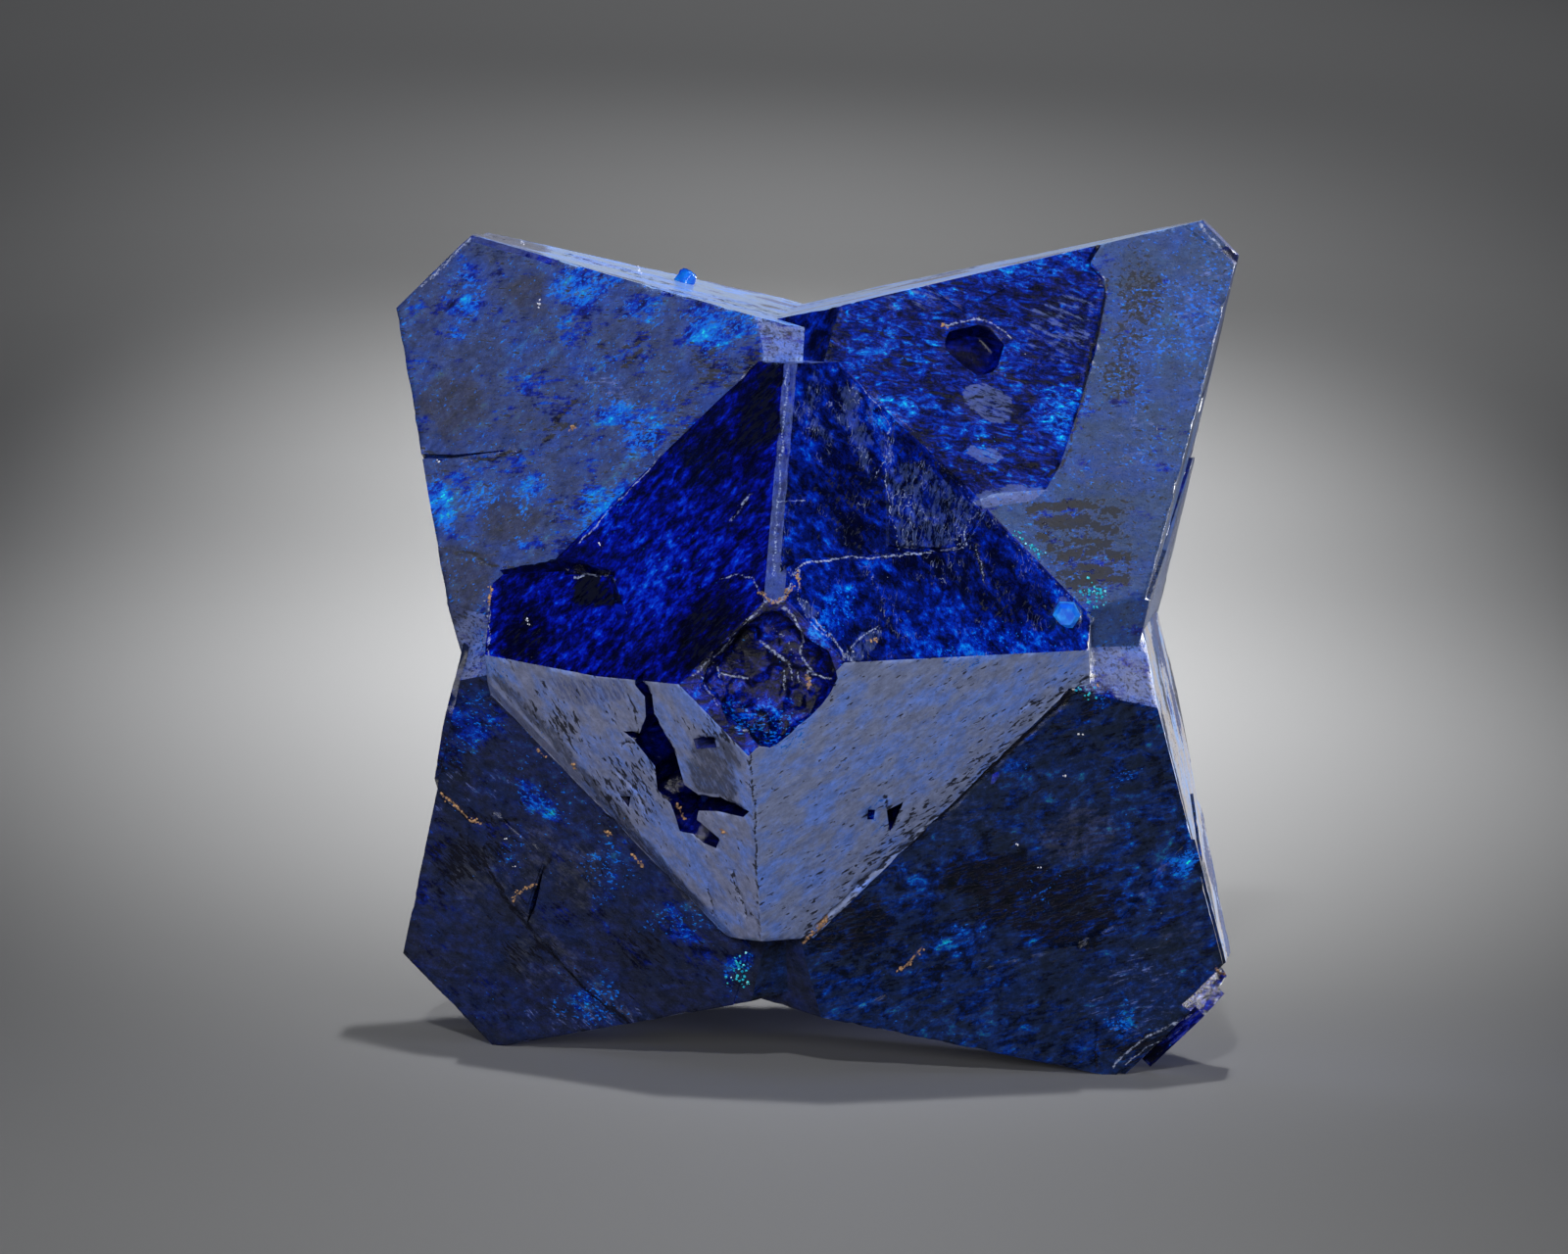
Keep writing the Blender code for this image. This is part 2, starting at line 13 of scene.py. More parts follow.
import bmesh
import bpy
import numpy as np
from mathutils import Euler, Matrix, Vector, kdtree
from mathutils.bvhtree import BVHTree


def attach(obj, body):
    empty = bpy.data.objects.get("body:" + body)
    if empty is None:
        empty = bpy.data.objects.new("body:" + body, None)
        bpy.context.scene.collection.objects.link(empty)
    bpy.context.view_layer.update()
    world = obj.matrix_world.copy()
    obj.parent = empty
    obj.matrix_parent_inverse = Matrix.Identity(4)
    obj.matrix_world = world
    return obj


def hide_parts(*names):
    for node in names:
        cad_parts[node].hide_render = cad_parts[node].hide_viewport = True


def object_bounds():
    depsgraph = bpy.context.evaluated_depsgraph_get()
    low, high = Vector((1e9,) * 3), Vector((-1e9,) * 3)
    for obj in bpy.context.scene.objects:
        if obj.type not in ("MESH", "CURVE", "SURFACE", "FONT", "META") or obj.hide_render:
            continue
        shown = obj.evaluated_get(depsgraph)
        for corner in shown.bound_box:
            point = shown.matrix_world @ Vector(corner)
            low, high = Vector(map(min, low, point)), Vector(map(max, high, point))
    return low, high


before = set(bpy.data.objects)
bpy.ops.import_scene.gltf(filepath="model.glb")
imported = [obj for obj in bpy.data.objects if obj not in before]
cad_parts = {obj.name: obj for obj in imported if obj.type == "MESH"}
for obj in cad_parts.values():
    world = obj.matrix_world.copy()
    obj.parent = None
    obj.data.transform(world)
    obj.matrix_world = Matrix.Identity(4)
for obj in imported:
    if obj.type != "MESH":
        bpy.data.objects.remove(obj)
CAD_BOX = [list(corner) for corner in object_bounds()]

LOG = logging.getLogger("cumengeite")

MM = 0.001
DIAGONAL = math.sqrt(0.5)

# How the star was stood up: its lean about Y in radians, then its move in millimetres.
LEAN = -0.0322253
MOVE = (-0.1871, 0.1, 10.5203)

# Half the width of the hidden cube, and how steeply a pyramid face leans from the cube.
CUBE_HALF = 6.1
FACE_TILT = math.atan(1.622)

# The plane numbers of faces that belong to no pyramid.
END_PLANES = 100
NOTCH_PLANES = 200
BREAK_PLANE = 300

# How far from a drawn line its distances are worked out, and what stands for farther, in pixels.
LINE_REACH = 16.0
FAR = 999.0

Colour = tuple[float, float, float]
Place = tuple[float, float]
Socket = bpy.types.NodeSocket


def leaned(way: Colour) -> np.ndarray:
    """Turn a direction of the upright star the way that the standing star leans."""
    return np.array(Matrix.Rotation(LEAN, 3, "Y") @ Vector(way))


class Way(Enum):
    """The directions that the six crystals grow in."""

    UP_LEFT = (-DIAGONAL, 0.0, DIAGONAL)
    UP_RIGHT = (DIAGONAL, 0.0, DIAGONAL)
    DOWN_LEFT = (-DIAGONAL, 0.0, -DIAGONAL)
    DOWN_RIGHT = (DIAGONAL, 0.0, -DIAGONAL)
    FRONT = (0.0, -1.0, 0.0)
    BACK = (0.0, 1.0, 0.0)

    @property
    def vector(self) -> np.ndarray:
        """The direction as the star stands."""
        return leaned(self.value)


class Region(Enum):
    """The kinds of surface, each with a finish of its own."""

    FRONT_UP_LEFT = 0
    FRONT_UP_RIGHT = 1
    FRONT_DOWN_LEFT = 2
    FRONT_DOWN_RIGHT = 3
    ARM_UP_LEFT = 4
    ARM_UP_RIGHT = 5
    ARM_DOWN_LEFT = 6
    ARM_DOWN_RIGHT = 7
    SIDE = 8
    NOTCH = 9
    END = 10
    BREAK = 11
    RIDGE = 12
    TIP = 13
    KNOB = 14
    LAYERED = 15
    HOLLOW = 16
    BAY = 17
    TOP_SLIVER = 18
    RIGHT_SLIVER = 19
    LOW_SLIVER = 20


@dataclass(frozen=True)
class Facet:
    """One pyramid face: the crystal that it belongs to and the side that it leans to."""

    crystal: Way
    side: Way

    @property
    def normal(self) -> np.ndarray:
        """The direction that the face looks in."""
        lean, axis = self.side.vector, self.crystal.vector
        return lean * math.sin(FACE_TILT) + axis * math.cos(FACE_TILT)

    @property
    def foot(self) -> np.ndarray:
        """The middle of the lower edge of the ideal face, in millimetres."""
        return (self.side.vector + self.crystal.vector) * CUBE_HALF + np.array(MOVE)

    @property
    def region(self) -> Region:
        """The finish that the face takes."""
        return FACET_REGIONS.get((self.crystal, self.side), Region.SIDE)

    def heights(self, points: np.ndarray) -> np.ndarray:
        """How far points stand out from the ideal plane of the face, in millimetres."""
        return (points - self.foot) @ self.normal


FACET_REGIONS = {
    (Way.FRONT, Way.UP_LEFT): Region.FRONT_UP_LEFT,
    (Way.FRONT, Way.UP_RIGHT): Region.FRONT_UP_RIGHT,
    (Way.FRONT, Way.DOWN_LEFT): Region.FRONT_DOWN_LEFT,
    (Way.FRONT, Way.DOWN_RIGHT): Region.FRONT_DOWN_RIGHT,
    (Way.UP_LEFT, Way.FRONT): Region.ARM_UP_LEFT,
    (Way.UP_RIGHT, Way.FRONT): Region.ARM_UP_RIGHT,
    (Way.DOWN_LEFT, Way.FRONT): Region.ARM_DOWN_LEFT,
    (Way.DOWN_RIGHT, Way.FRONT): Region.ARM_DOWN_RIGHT,
    (Way.UP_LEFT, Way.UP_RIGHT): Region.TOP_SLIVER,
    (Way.UP_RIGHT, Way.UP_LEFT): Region.TOP_SLIVER,
    (Way.UP_RIGHT, Way.DOWN_RIGHT): Region.RIGHT_SLIVER,
    (Way.DOWN_RIGHT, Way.UP_RIGHT): Region.LOW_SLIVER,
}

FACETS = [
    Facet(crystal, side)
    for crystal in Way
    for side in Way
    if abs(np.dot(crystal.value, side.value)) < 0.5
]
NORMALS = np.array([facet.normal for facet in FACETS])
FEET = np.array([facet.foot for facet in FACETS])
RIDGE_WAYS = np.array(
    [
        (first.normal + second.normal) / np.linalg.norm(first.normal + second.normal)
        for number, first in enumerate(FACETS)
        for second in FACETS[number + 1 :]
        if first.crystal is second.crystal and abs(np.dot(first.side.value, second.side.value)) < 0.5
    ]
)
WAYS = [way.vector for way in Way]


@dataclass(frozen=True)
class FrontView:
    """The view of the photograph, 1600 by 1280, which the camera and the placed marks share."""

    width: float = 1600.0
    height: float = 1280.0
    lens: float = 357.8127
    sensor: float = 36.0
    right: Colour = (0.996795774, 0.066647843, 0.044229411)
    up: Colour = (-0.048267502, 0.060248394, 0.997015774)
    back: Colour = (0.063784197, -0.995955944, 0.06327226)
    stand: Colour = (24.710786, -398.294419, 36.260702)

    def places(self, points: np.ndarray) -> np.ndarray:
        """Where points are seen, in pixels of the view from its upper left corner.

        Args:
            points: places on the star in millimetres, one a row.

        Returns:
            Across and down in pixels, one place a row.
        """
        apart = points - np.array(self.stand)
        away = -(apart @ np.array(self.back))
        zoom = self.lens / self.sensor * self.width / away
        across = self.width / 2 + apart @ np.array(self.right) * zoom
        down = self.height / 2 - apart @ np.array(self.up) * zoom
        return np.stack((across, down), axis=1)

    def ray(self, place: Place) -> tuple[Vector, Vector]:
        """The sight line through a pixel: where it starts, in millimetres, and its direction."""
        zoom = self.lens / self.sensor * self.width
        across = (place[0] - self.width / 2) / zoom
        down = (place[1] - self.height / 2) / zoom
        way = Vector(self.right) * across - Vector(self.up) * down - Vector(self.back)
        return Vector(self.stand), way.normalized()

    def add_camera(self) -> bpy.types.Object:
        """Set up the camera of the scene at this view."""
        data = bpy.data.cameras.new("camera")
        data.lens = self.lens
        data.sensor_width = self.sensor
        data.clip_start = 0.01
        data.clip_end = 20.0
        camera = bpy.data.objects.new("camera", data)
        turn = Matrix((self.right, self.up, self.back)).transposed().to_4x4()
        camera.matrix_world = Matrix.Translation(Vector(self.stand) * MM) @ turn
        bpy.context.scene.collection.objects.link(camera)
        bpy.context.scene.camera = camera
        return camera


VIEW = FrontView()


def soft_step(values: np.ndarray, low: float, high: float) -> np.ndarray:
    """Rise smoothly from 0 at low to 1 at high."""
    part = np.clip((values - low) / (high - low), 0.0, 1.0)
    return part * part * (3 - 2 * part)


def lattice(cells: np.ndarray) -> np.ndarray:
    """A fixed scattered number between -1 and 1 for each whole-numbered place."""
    mixed = (cells[:, 0] * 73856093) ^ (cells[:, 1] * 19349663) ^ (cells[:, 2] * 83492791)
    mixed = (mixed ^ (mixed >> 13)) * 1274126177
    return ((mixed ^ (mixed >> 16)) & 0xFFFF) / 32767.5 - 1.0


def smooth_noise(places: np.ndarray) -> np.ndarray:
    """Noise between -1 and 1 with lumps one unit wide."""
    cells = np.floor(places).astype(np.int64)
    part = places - cells
    part = part * part * (3 - 2 * part)
    total = np.zeros(len(places))
    for corner in np.ndindex(2, 2, 2):
        step = np.array(corner)
        weight = np.prod(np.where(step == 1, part, 1 - part), axis=1)
        total += weight * lattice(cells + step)
    return total


def grain(points: np.ndarray, size: Colour, octaves: int = 3, turn: float = 0.0) -> np.ndarray:
    """Fractal noise about 0 at each point.

    Args:
        points: places in millimetres, one a row.
        size: width of a lump along X, Y and Z after the turn, in millimetres.
        octaves: how many layers are added, each half as wide and half as strong.
        turn: turn of the lumps about Y, in degrees, from flat towards upper right.

    Returns:
        One value a point, mostly between -1 and 1.
    """
    back = np.array(Matrix.Rotation(math.radians(turn), 3, "Y"))
    places = (points @ back.T) / np.array(size) + 31.7
    total = np.zeros(len(points))
    for octave in range(octaves):
        total += smooth_noise(places * 2.03**octave + 5.3 * octave) * 0.55**octave
    return total


@dataclass(frozen=True)
class Line:
    """A crack, a seam or a vein drawn on the faces, by pixels of the view."""

    places: tuple[Place, ...]
    width: float = 3.0
    depth: float = 0.0
    amount: float = 1.0

    def distances(self, seen: np.ndarray) -> np.ndarray:
        """How far each seen place lies from the line, in pixels, or FAR beyond its reach."""
        bends = np.array(self.places)
        low, high = bends.min(axis=0) - LINE_REACH, bends.max(axis=0) + LINE_REACH
        near = np.nonzero(np.all((seen > low) & (seen < high), axis=1))[0]
        here = seen[near]
        best = np.full(len(near), FAR)
        for begin, end in zip(bends[:-1], bends[1:]):
            run = end - begin
            apart = here - begin
            part = np.clip(apart @ run / (run @ run), 0.0, 1.0)
            best = np.minimum(best, np.hypot(*(apart - part[:, None] * run).T))
        gaps = np.full(len(seen), FAR)
        gaps[near] = best
        return gaps

    def amounts(self, seen: np.ndarray) -> np.ndarray:
        """How strongly the line covers each seen place, from 0 to its amount."""
        cover = 1 - soft_step(self.distances(seen), self.width * 0.25, self.width * 0.75)
        return self.amount * cover

    def spots(self, draw: random.Random, spacing: float, jitter: float) -> list[Place]:
        """Scattered places along the line."""
        found = []
        for (left, top), (right, bottom) in zip(self.places[:-1], self.places[1:]):
            length = math.hypot(right - left, bottom - top)
            for _ in range(max(1, round(length / spacing))):
                part = draw.random()
                across = left + (right - left) * part + draw.gauss(0.0, jitter)
                down = top + (bottom - top) * part + draw.gauss(0.0, jitter)
                found.append((across, down))
        return found


@dataclass(frozen=True)
class Patch:
    """A soft-edged oval on the faces, by the box round it in pixels of the view."""

    left: float
    top: float
    right: float
    bottom: float
    amount: float = 1.0
    turn: float = 0.0

    def amounts(self, seen: np.ndarray) -> np.ndarray:
        """How strongly the patch covers each seen place, from 0 to its amount."""
        apart = seen - np.array(((self.left + self.right) / 2, (self.top + self.bottom) / 2))
        angle = math.radians(self.turn)
        along = apart[:, 0] * math.cos(angle) - apart[:, 1] * math.sin(angle)
        aside = apart[:, 0] * math.sin(angle) + apart[:, 1] * math.cos(angle)
        reach = np.hypot(along / (self.right - self.left), aside / (self.bottom - self.top))
        return self.amount * (1 - soft_step(reach, 0.3, 0.62))


@dataclass(frozen=True)
class Plate:
    """A crisp-edged flat plate on the faces, by its corners in the view, clockwise."""

    places: tuple[Place, ...]
    amount: float = 1.0

    def inside(self, seen: np.ndarray) -> np.ndarray:
        """How far each seen place lies inside the outline, in pixels, below 0 outside it."""
        corners = np.array(self.places)
        depths = np.full(len(seen), FAR)
        for begin, end in zip(corners, np.roll(corners, -1, axis=0)):
            run = end - begin
            apart = seen - begin
            across = run[0] * apart[:, 1] - run[1] * apart[:, 0]
            depths = np.minimum(depths, across / np.hypot(*run))
        return depths

    def amounts(self, seen: np.ndarray) -> np.ndarray:
        """How strongly the plate covers each seen place, from 0 to its amount."""
        return self.amount * soft_step(self.inside(seen), -1.0, 2.0)


CRACKS = (
    Line(((432, 460), (450, 466), (478, 467), (500, 468), (530, 460)), 3.4, 0.07),
    Line(((443, 557), (480, 565), (500, 577), (525, 580)), 2.4, 0.03),
    Line(((562, 878), (550, 892), (545, 925), (538, 944)), 3.0, 0.06),
    Line(((995, 556), (1000, 577), (1009, 599)), 2.2, 0.04),
    Line(((1119, 1045), (1119, 1089)), 2.4, 0.05),
    Line(((447, 808), (462, 820), (480, 837), (500, 838), (528, 836)), 3.2, 0.06),
    Line(((1110, 692), (1060, 740), (1000, 795), (940, 850), (880, 903), (835, 945)), 4.4, 0.08),
    Line(((766, 770), (770, 828), (772, 898), (776, 958)), 2.4, 0.04),
    Line(((630, 790), (648, 806), (660, 830)), 2.4, 0.05),
    Line(((634, 760), (655, 757)), 2.0, 0.04),
    Line(((748, 890), (760, 935)), 2.2, 0.05),
    Line(((722, 900), (726, 932)), 2.2, 0.04),
    Line(((1131, 288), (1121, 335), (1106, 397), (1093, 447), (1084, 475), (1066, 488)), 3.0, 0.0),
    Line(((470, 850), (500, 890), (520, 925), (545, 955), (590, 1003), (640, 1045)), 3.6, 0.0),
    Line(((640, 700), (655, 760), (700, 820)), 2.0, 0.0),
    Line(((903, 812), (910, 840), (922, 818)), 4.0, 0.0),
    Line(((1040, 725), (1050, 717), (1062, 716)), 2.0, 0.03),
)

CLAY_SEAMS = (
    Line(((501, 598), (499, 618)), 4.0),
    Line(((1240, 990), (1252, 995)), 4.0),
    Line(((820, 962), (832, 950), (846, 935)), 4.5),
    Line(((915, 992), (928, 984), (941, 969)), 3.5),
    Line(((449, 810), (462, 820), (480, 837), (492, 839)), 3.0),
    Line(((522, 921), (524, 914), (546, 902)), 3.6),
    Line(((617, 848), (624, 853)), 4.0),
    Line(((775, 604), (790, 615), (800, 609), (808, 599)), 4.0),
    Line(((824, 690), (826, 700)), 5.0),
    Line(((548, 764), (556, 772)), 2.5),
    Line(((646, 872), (656, 884)), 2.5),
    Line(((583, 780), (587, 784)), 3.0),
    Line(((1116, 700), (1122, 701)), 3.0),
    Line(((690, 820), (700, 838)), 2.6),
    Line(((735, 845), (742, 852)), 2.6),
    Line(((813, 584), (816, 600)), 3.5),
    Line(((885, 655), (897, 652)), 3.0),
    Line(((961, 332), (966, 334)), 3.0),
    Line(((580, 440), (588, 436)), 3.5),
)

# Fine dark scratches that lie in bundles.
FEATHERS = (
    Line(((626, 377), (645, 356), (663, 336)), 3.5), Line(((622, 372), (640, 352)), 3.0),
    Line(((632, 378), (655, 356)), 2.6), Line(((615, 351), (624, 364), (632, 373)), 3.0),
    Line(((553, 447), (572, 424), (593, 404)), 3.5), Line(((556, 452), (578, 430)), 3.0),
    Line(((564, 426), (586, 436)), 3.0), Line(((566, 440), (592, 430)), 2.4),
    Line(((548, 702), (546, 738)), 2.0), Line(((556, 700), (554, 742)), 2.0),
    Line(((564, 704), (563, 735)), 2.0), Line(((690, 556), (720, 530)), 2.4),
    Line(((1090, 698), (1050, 733), (990, 788), (930, 843), (870, 896)), 20.0, 0.0, 0.5),
    Line(((1042, 900), (1080, 912), (1120, 906), (1150, 914)), 5.0, 0.0, 0.8),
    Line(((1010, 930), (1060, 938), (1110, 930), (1140, 936)), 5.0, 0.0, 0.8),
    Line(((960, 905), (1000, 912), (1030, 930)), 6.0, 0.0, 0.8),
    Line(((880, 420), (930, 470), (985, 540)), 3.0, 0.0, 0.6),
    Line(((950, 400), (985, 408), (1020, 402)), 4.0, 0.0, 0.8),
    Line(((940, 440), (985, 450), (1040, 446)), 4.0, 0.0, 0.8),
    Line(((960, 480), (1010, 482), (1060, 474)), 4.0, 0.0, 0.8),
    Line(((1030, 385), (1070, 392), (1100, 384)), 4.0, 0.0, 0.8),
    Line(((880, 340), (930, 346), (950, 372), (945, 400)), 4.0, 0.0, 0.7),
    Line(((1050, 520), (1090, 512), (1140, 522)), 6.0, 0.0, 1.7),
    Line(((1054, 532), (1080, 528), (1120, 536)), 4.0, 0.0, 1.7),
    Line(((1060, 545), (1100, 534), (1146, 542)), 6.0, 0.0, 1.7),
    Line(((1070, 560), (1100, 550), (1132, 558)), 4.0, 0.0, 1.7),
    Line(((1076, 572), (1110, 562), (1150, 570)), 6.0, 0.0, 1.7),
    Line(((1084, 585), (1112, 578), (1136, 584)), 4.0, 0.0, 1.7),
    Line(((1090, 598), (1120, 588), (1150, 594)), 6.0, 0.0, 1.7),
)

# Pale lines: white veins and chipped edges. Along ridges and rims they are also painted edge highlights.
VEINS_AND_EDGE_HIGHLIGHTS = (
    Line(((735, 591), (751, 588), (767, 590), (773, 599), (781, 613)), 2.6),
    Line(((707, 690), (722, 675), (740, 660), (756, 641), (767, 630), (779, 617)), 3.4),
    Line(((779, 616), (787, 612), (795, 614), (799, 607), (806, 596)), 4.2),
    Line(((799, 620), (808, 629), (815, 641), (819, 655), (818, 668)), 4.2),
    Line(((818, 668), (823, 678), (830, 688), (845, 692)), 3.4),
    Line(((776, 655), (787, 664), (797, 671), (806, 681)), 5.2),
    Line(((807, 680), (809, 695)), 3.0),
    Line(((799, 684), (801, 704)), 3.0),
    Line(((815, 686), (817, 698)), 3.0),
    Line(((824, 684), (827, 694)), 3.0),
    Line(((738, 688), (750, 691), (762, 692)), 4.0),
    Line(((727, 676), (734, 682), (738, 700)), 2.6),
    Line(((715, 692), (728, 708), (735, 722)), 2.6),
    Line(((760, 746), (768, 747)), 5.0),
    Line(((790, 643), (802, 652), (812, 672)), 1.8),
    Line(((830, 630), (848, 652), (862, 670)), 2.6),
    Line(((808, 588), (812, 579), (820, 574), (869, 570), (922, 567), (984, 558)), 3.0),
    Line(((984, 558), (986, 540), (1000, 521)), 3.0),
    Line(((815, 581), (815, 611), (827, 634), (860, 666), (873, 675)), 2.4),
    Line(((862, 671), (874, 655), (897, 638)), 2.4),
    Line(((805, 374), (797, 470), (789, 588)), 3.0, 0.0, 0.9),
    Line(((876, 388), (905, 427), (908, 459), (892, 487)), 2.0),
    Line(((903, 478), (908, 520), (919, 560)), 1.8),
    Line(((793, 512), (827, 510)), 1.8),
    Line(((995, 556), (1003, 583), (1009, 599)), 2.0),
    Line(((962, 332), (977, 330), (993, 327), (1013, 329), (1024, 338), (1031, 347)), 3.0),
    Line(((586, 588), (600, 586), (620, 588)), 3.0),
    Line(((744, 531), (752, 520), (768, 503)), 2.0),
    Line(((675, 464), (627, 517), (590, 556)), 2.2),
    Line(((481, 243), (455, 268), (430, 292)), 4.0),
    Line(((1135, 1090), (1145, 1078), (1160, 1065), (1175, 1055), (1200, 1045), (1215, 1038)), 3.4),
    Line(((1150, 1086), (1168, 1070), (1190, 1060)), 2.2),
    Line(((880, 395), (930, 440), (1000, 520), (1060, 580), (1105, 622)), 2.0, 0.0, 0.7),
    Line(((1224, 229), (1243, 249), (1259, 268)), 3.4),
    Line(((501, 602), (498, 650), (498, 676)), 2.4),
)

AZURE_PATCHES = (
    Patch(444, 268, 492, 360, 0.9), Patch(462, 300, 480, 330, 1.2), Patch(575, 258, 650, 322, 1.1),
    Patch(640, 296, 700, 342, 0.5), Patch(692, 308, 776, 362, 1.0), Patch(520, 476, 550, 526, 0.9),
    Patch(570, 498, 600, 545, 1.0), Patch(526, 546, 548, 574, 1.0), Patch(622, 428, 680, 474, 0.8),
    Patch(590, 490, 640, 560, 0.9), Patch(431, 478, 468, 556, 0.9), Patch(470, 500, 520, 520, 0.6),
    Patch(590, 400, 640, 440, 0.6), Patch(1010, 250, 1112, 300, 1.0), Patch(900, 284, 960, 322, 0.6),
    Patch(1056, 378, 1110, 440, 1.1), Patch(870, 325, 960, 372, 0.6), Patch(960, 430, 1050, 480, 0.7),
    Patch(880, 400, 960, 440, 0.7), Patch(1010, 300, 1060, 400, 0.5), Patch(1110, 330, 1190, 420, 0.5),
    Patch(1090, 440, 1200, 510, 0.5), Patch(1110, 280, 1210, 320, 0.4), Patch(820, 606, 868, 664, 1.2),
    Patch(890, 640, 1110, 676, 0.8), Patch(640, 500, 770, 640, 0.5), Patch(735, 706, 835, 766, 1.0),
    Patch(450, 700, 500, 770, 0.8), Patch(495, 850, 540, 905, 0.6), Patch(440, 740, 470, 800, 0.7),
    Patch(520, 800, 560, 840, 0.6), Patch(590, 860, 640, 930, 0.9), Patch(660, 910, 740, 960, 0.7),
    Patch(738, 970, 768, 1004, 1.2), Patch(560, 1000, 640, 1050, 0.7), Patch(1020, 770, 1060, 800, 0.7),
    Patch(1026, 896, 1070, 922, 0.9), Patch(1188, 864, 1226, 894, 1.5), Patch(1132, 786, 1172, 812, 0.9),
    Patch(1128, 1016, 1172, 1062, 0.8), Patch(940, 935, 1010, 975, 0.6), Patch(930, 700, 1000, 730, 0.4),
    Patch(830, 770, 880, 840, 0.3), Patch(780, 860, 830, 880, 0.3), Patch(895, 815, 905, 850, 0.9),
    Patch(560, 700, 620, 730, 0.4), Patch(880, 480, 960, 560, 0.3), Patch(485, 640, 515, 690, 0.7),
    Patch(1096, 700, 1120, 716, 1.3), Patch(1200, 300, 1250, 400, 0.3), Patch(540, 880, 600, 900, 0.4),
)

HAZE_PLATES = (
    Plate(((897, 293), (958, 285), (966, 300), (962, 314), (905, 322)), 0.4),
    Plate(((1052, 316), (1090, 298), (1118, 306), (1112, 352), (1078, 378), (1046, 350)), 0.5),
    Plate(((1002, 390), (1034, 404), (1036, 432), (1016, 437), (982, 412), (984, 394)), 0.75),
    Plate(((990, 453), (1018, 457), (1026, 468), (1004, 474), (984, 462)), 0.8),
    Plate(((996, 500), (1040, 494), (1068, 498), (1060, 510), (1010, 519), (990, 514)), 1.0),
    Plate(((905, 476), (940, 470), (1001, 521), (984, 556), (920, 562), (908, 520)), 0.62),
    Plate(((830, 590), (900, 584), (960, 580), (930, 632), (850, 640)), 0.16),
    Plate(((862, 664), (880, 644), (900, 640), (902, 652), (884, 674), (866, 676)), 0.7),
    Plate(((816, 608), (826, 612), (836, 624), (830, 634), (818, 624)), 0.9),
    Plate(((1134, 420), (1168, 400), (1180, 430), (1166, 500), (1140, 520)), 0.3),
    Plate(((560, 690), (636, 694), (640, 716), (590, 722), (566, 712)), 0.6),
)

HAZE_PATCHES = (
    Patch(820, 376, 845, 470, 0.6), Patch(856, 384, 882, 474, 0.8), Patch(886, 400, 908, 470, 0.6),
    Patch(1000, 560, 1090, 630, 0.2), Patch(1190, 240, 1260, 400, 0.3),
    Patch(500, 1020, 700, 1060, 0.3), Patch(1090, 960, 1230, 1080, 0.3), Patch(430, 780, 520, 830, 0.3),
    Patch(600, 360, 640, 440, 0.4, 60), Patch(560, 590, 640, 660, 0.2),
    Patch(776, 478, 812, 600, 0.3),
)

DARK_PATCHES = (
    Patch(704, 352, 754, 388, 0.55), Patch(664, 392, 704, 430, 0.5), Patch(1120, 326, 1166, 412, 0.6),
    Patch(1126, 252, 1190, 338, 0.7), Patch(640, 440, 690, 470, 0.4), Patch(560, 500, 600, 560, 0.3),
    Patch(880, 352, 926, 376, 0.6), Patch(820, 316, 862, 372, 0.5), Patch(900, 440, 960, 500, 0.5),
    Patch(745, 370, 806, 460, 1.2), Patch(690, 420, 760, 500, 0.7, 45), Patch(580, 588, 626, 618, 1.4),
    Patch(690, 600, 780, 690, 1.0, 40), Patch(510, 620, 560, 680, 0.8), Patch(1000, 590, 1080, 650, 0.5),
    Patch(830, 440, 900, 560, 0.5), Patch(955, 890, 1012, 914, 0.7), Patch(440, 760, 470, 800, 0.5),
    Patch(455, 830, 500, 910, 0.9, -60), Patch(500, 950, 560, 1000, 0.8), Patch(560, 720, 600, 760, 0.8),
    Patch(600, 760, 690, 850, 0.6, -45), Patch(830, 900, 900, 980, 0.7), Patch(1090, 690, 1120, 730, 0.6),
    Patch(720, 720, 780, 760, 0.8), Patch(1120, 1060, 1210, 1094, 0.7), Patch(620, 940, 700, 1000, 0.5),
    Patch(1056, 500, 1160, 612, 0.5), Patch(960, 880, 1140, 960, 0.8, -10),
)

BROWN_PATCHES = (
    Patch(508, 256, 576, 322, 1.0), Patch(420, 380, 502, 448, 1.2), Patch(490, 494, 556, 568, 1.1),
    Patch(420, 400, 560, 460, 0.6), Patch(1128, 258, 1186, 334, 0.8), Patch(1116, 320, 1162, 402, 0.7),
    Patch(1090, 430, 1170, 560, 0.6), Patch(450, 868, 522, 920, 0.7), Patch(496, 950, 606, 1012, 0.55),
    Patch(556, 860, 624, 924, 0.7), Patch(520, 840, 570, 900, 0.7), Patch(1050, 816, 1140, 884, 0.8),
    Patch(700, 740, 752, 836, 0.9), Patch(706, 672, 772, 732, 1.4), Patch(500, 690, 560, 730, 0.5),
    Patch(870, 650, 1000, 690, 0.3), Patch(930, 800, 1010, 860, 0.5), Patch(560, 790, 640, 860, 0.3),
    Patch(1180, 930, 1230, 1000, 0.5), Patch(430, 560, 506, 640, 1.2),
    Line(((506, 692), (560, 748), (640, 842), (716, 930)), 13.0, 0.0, 0.9),
    Line(((492, 870), (540, 940), (640, 1035)), 16.0, 0.0, 0.7),
)

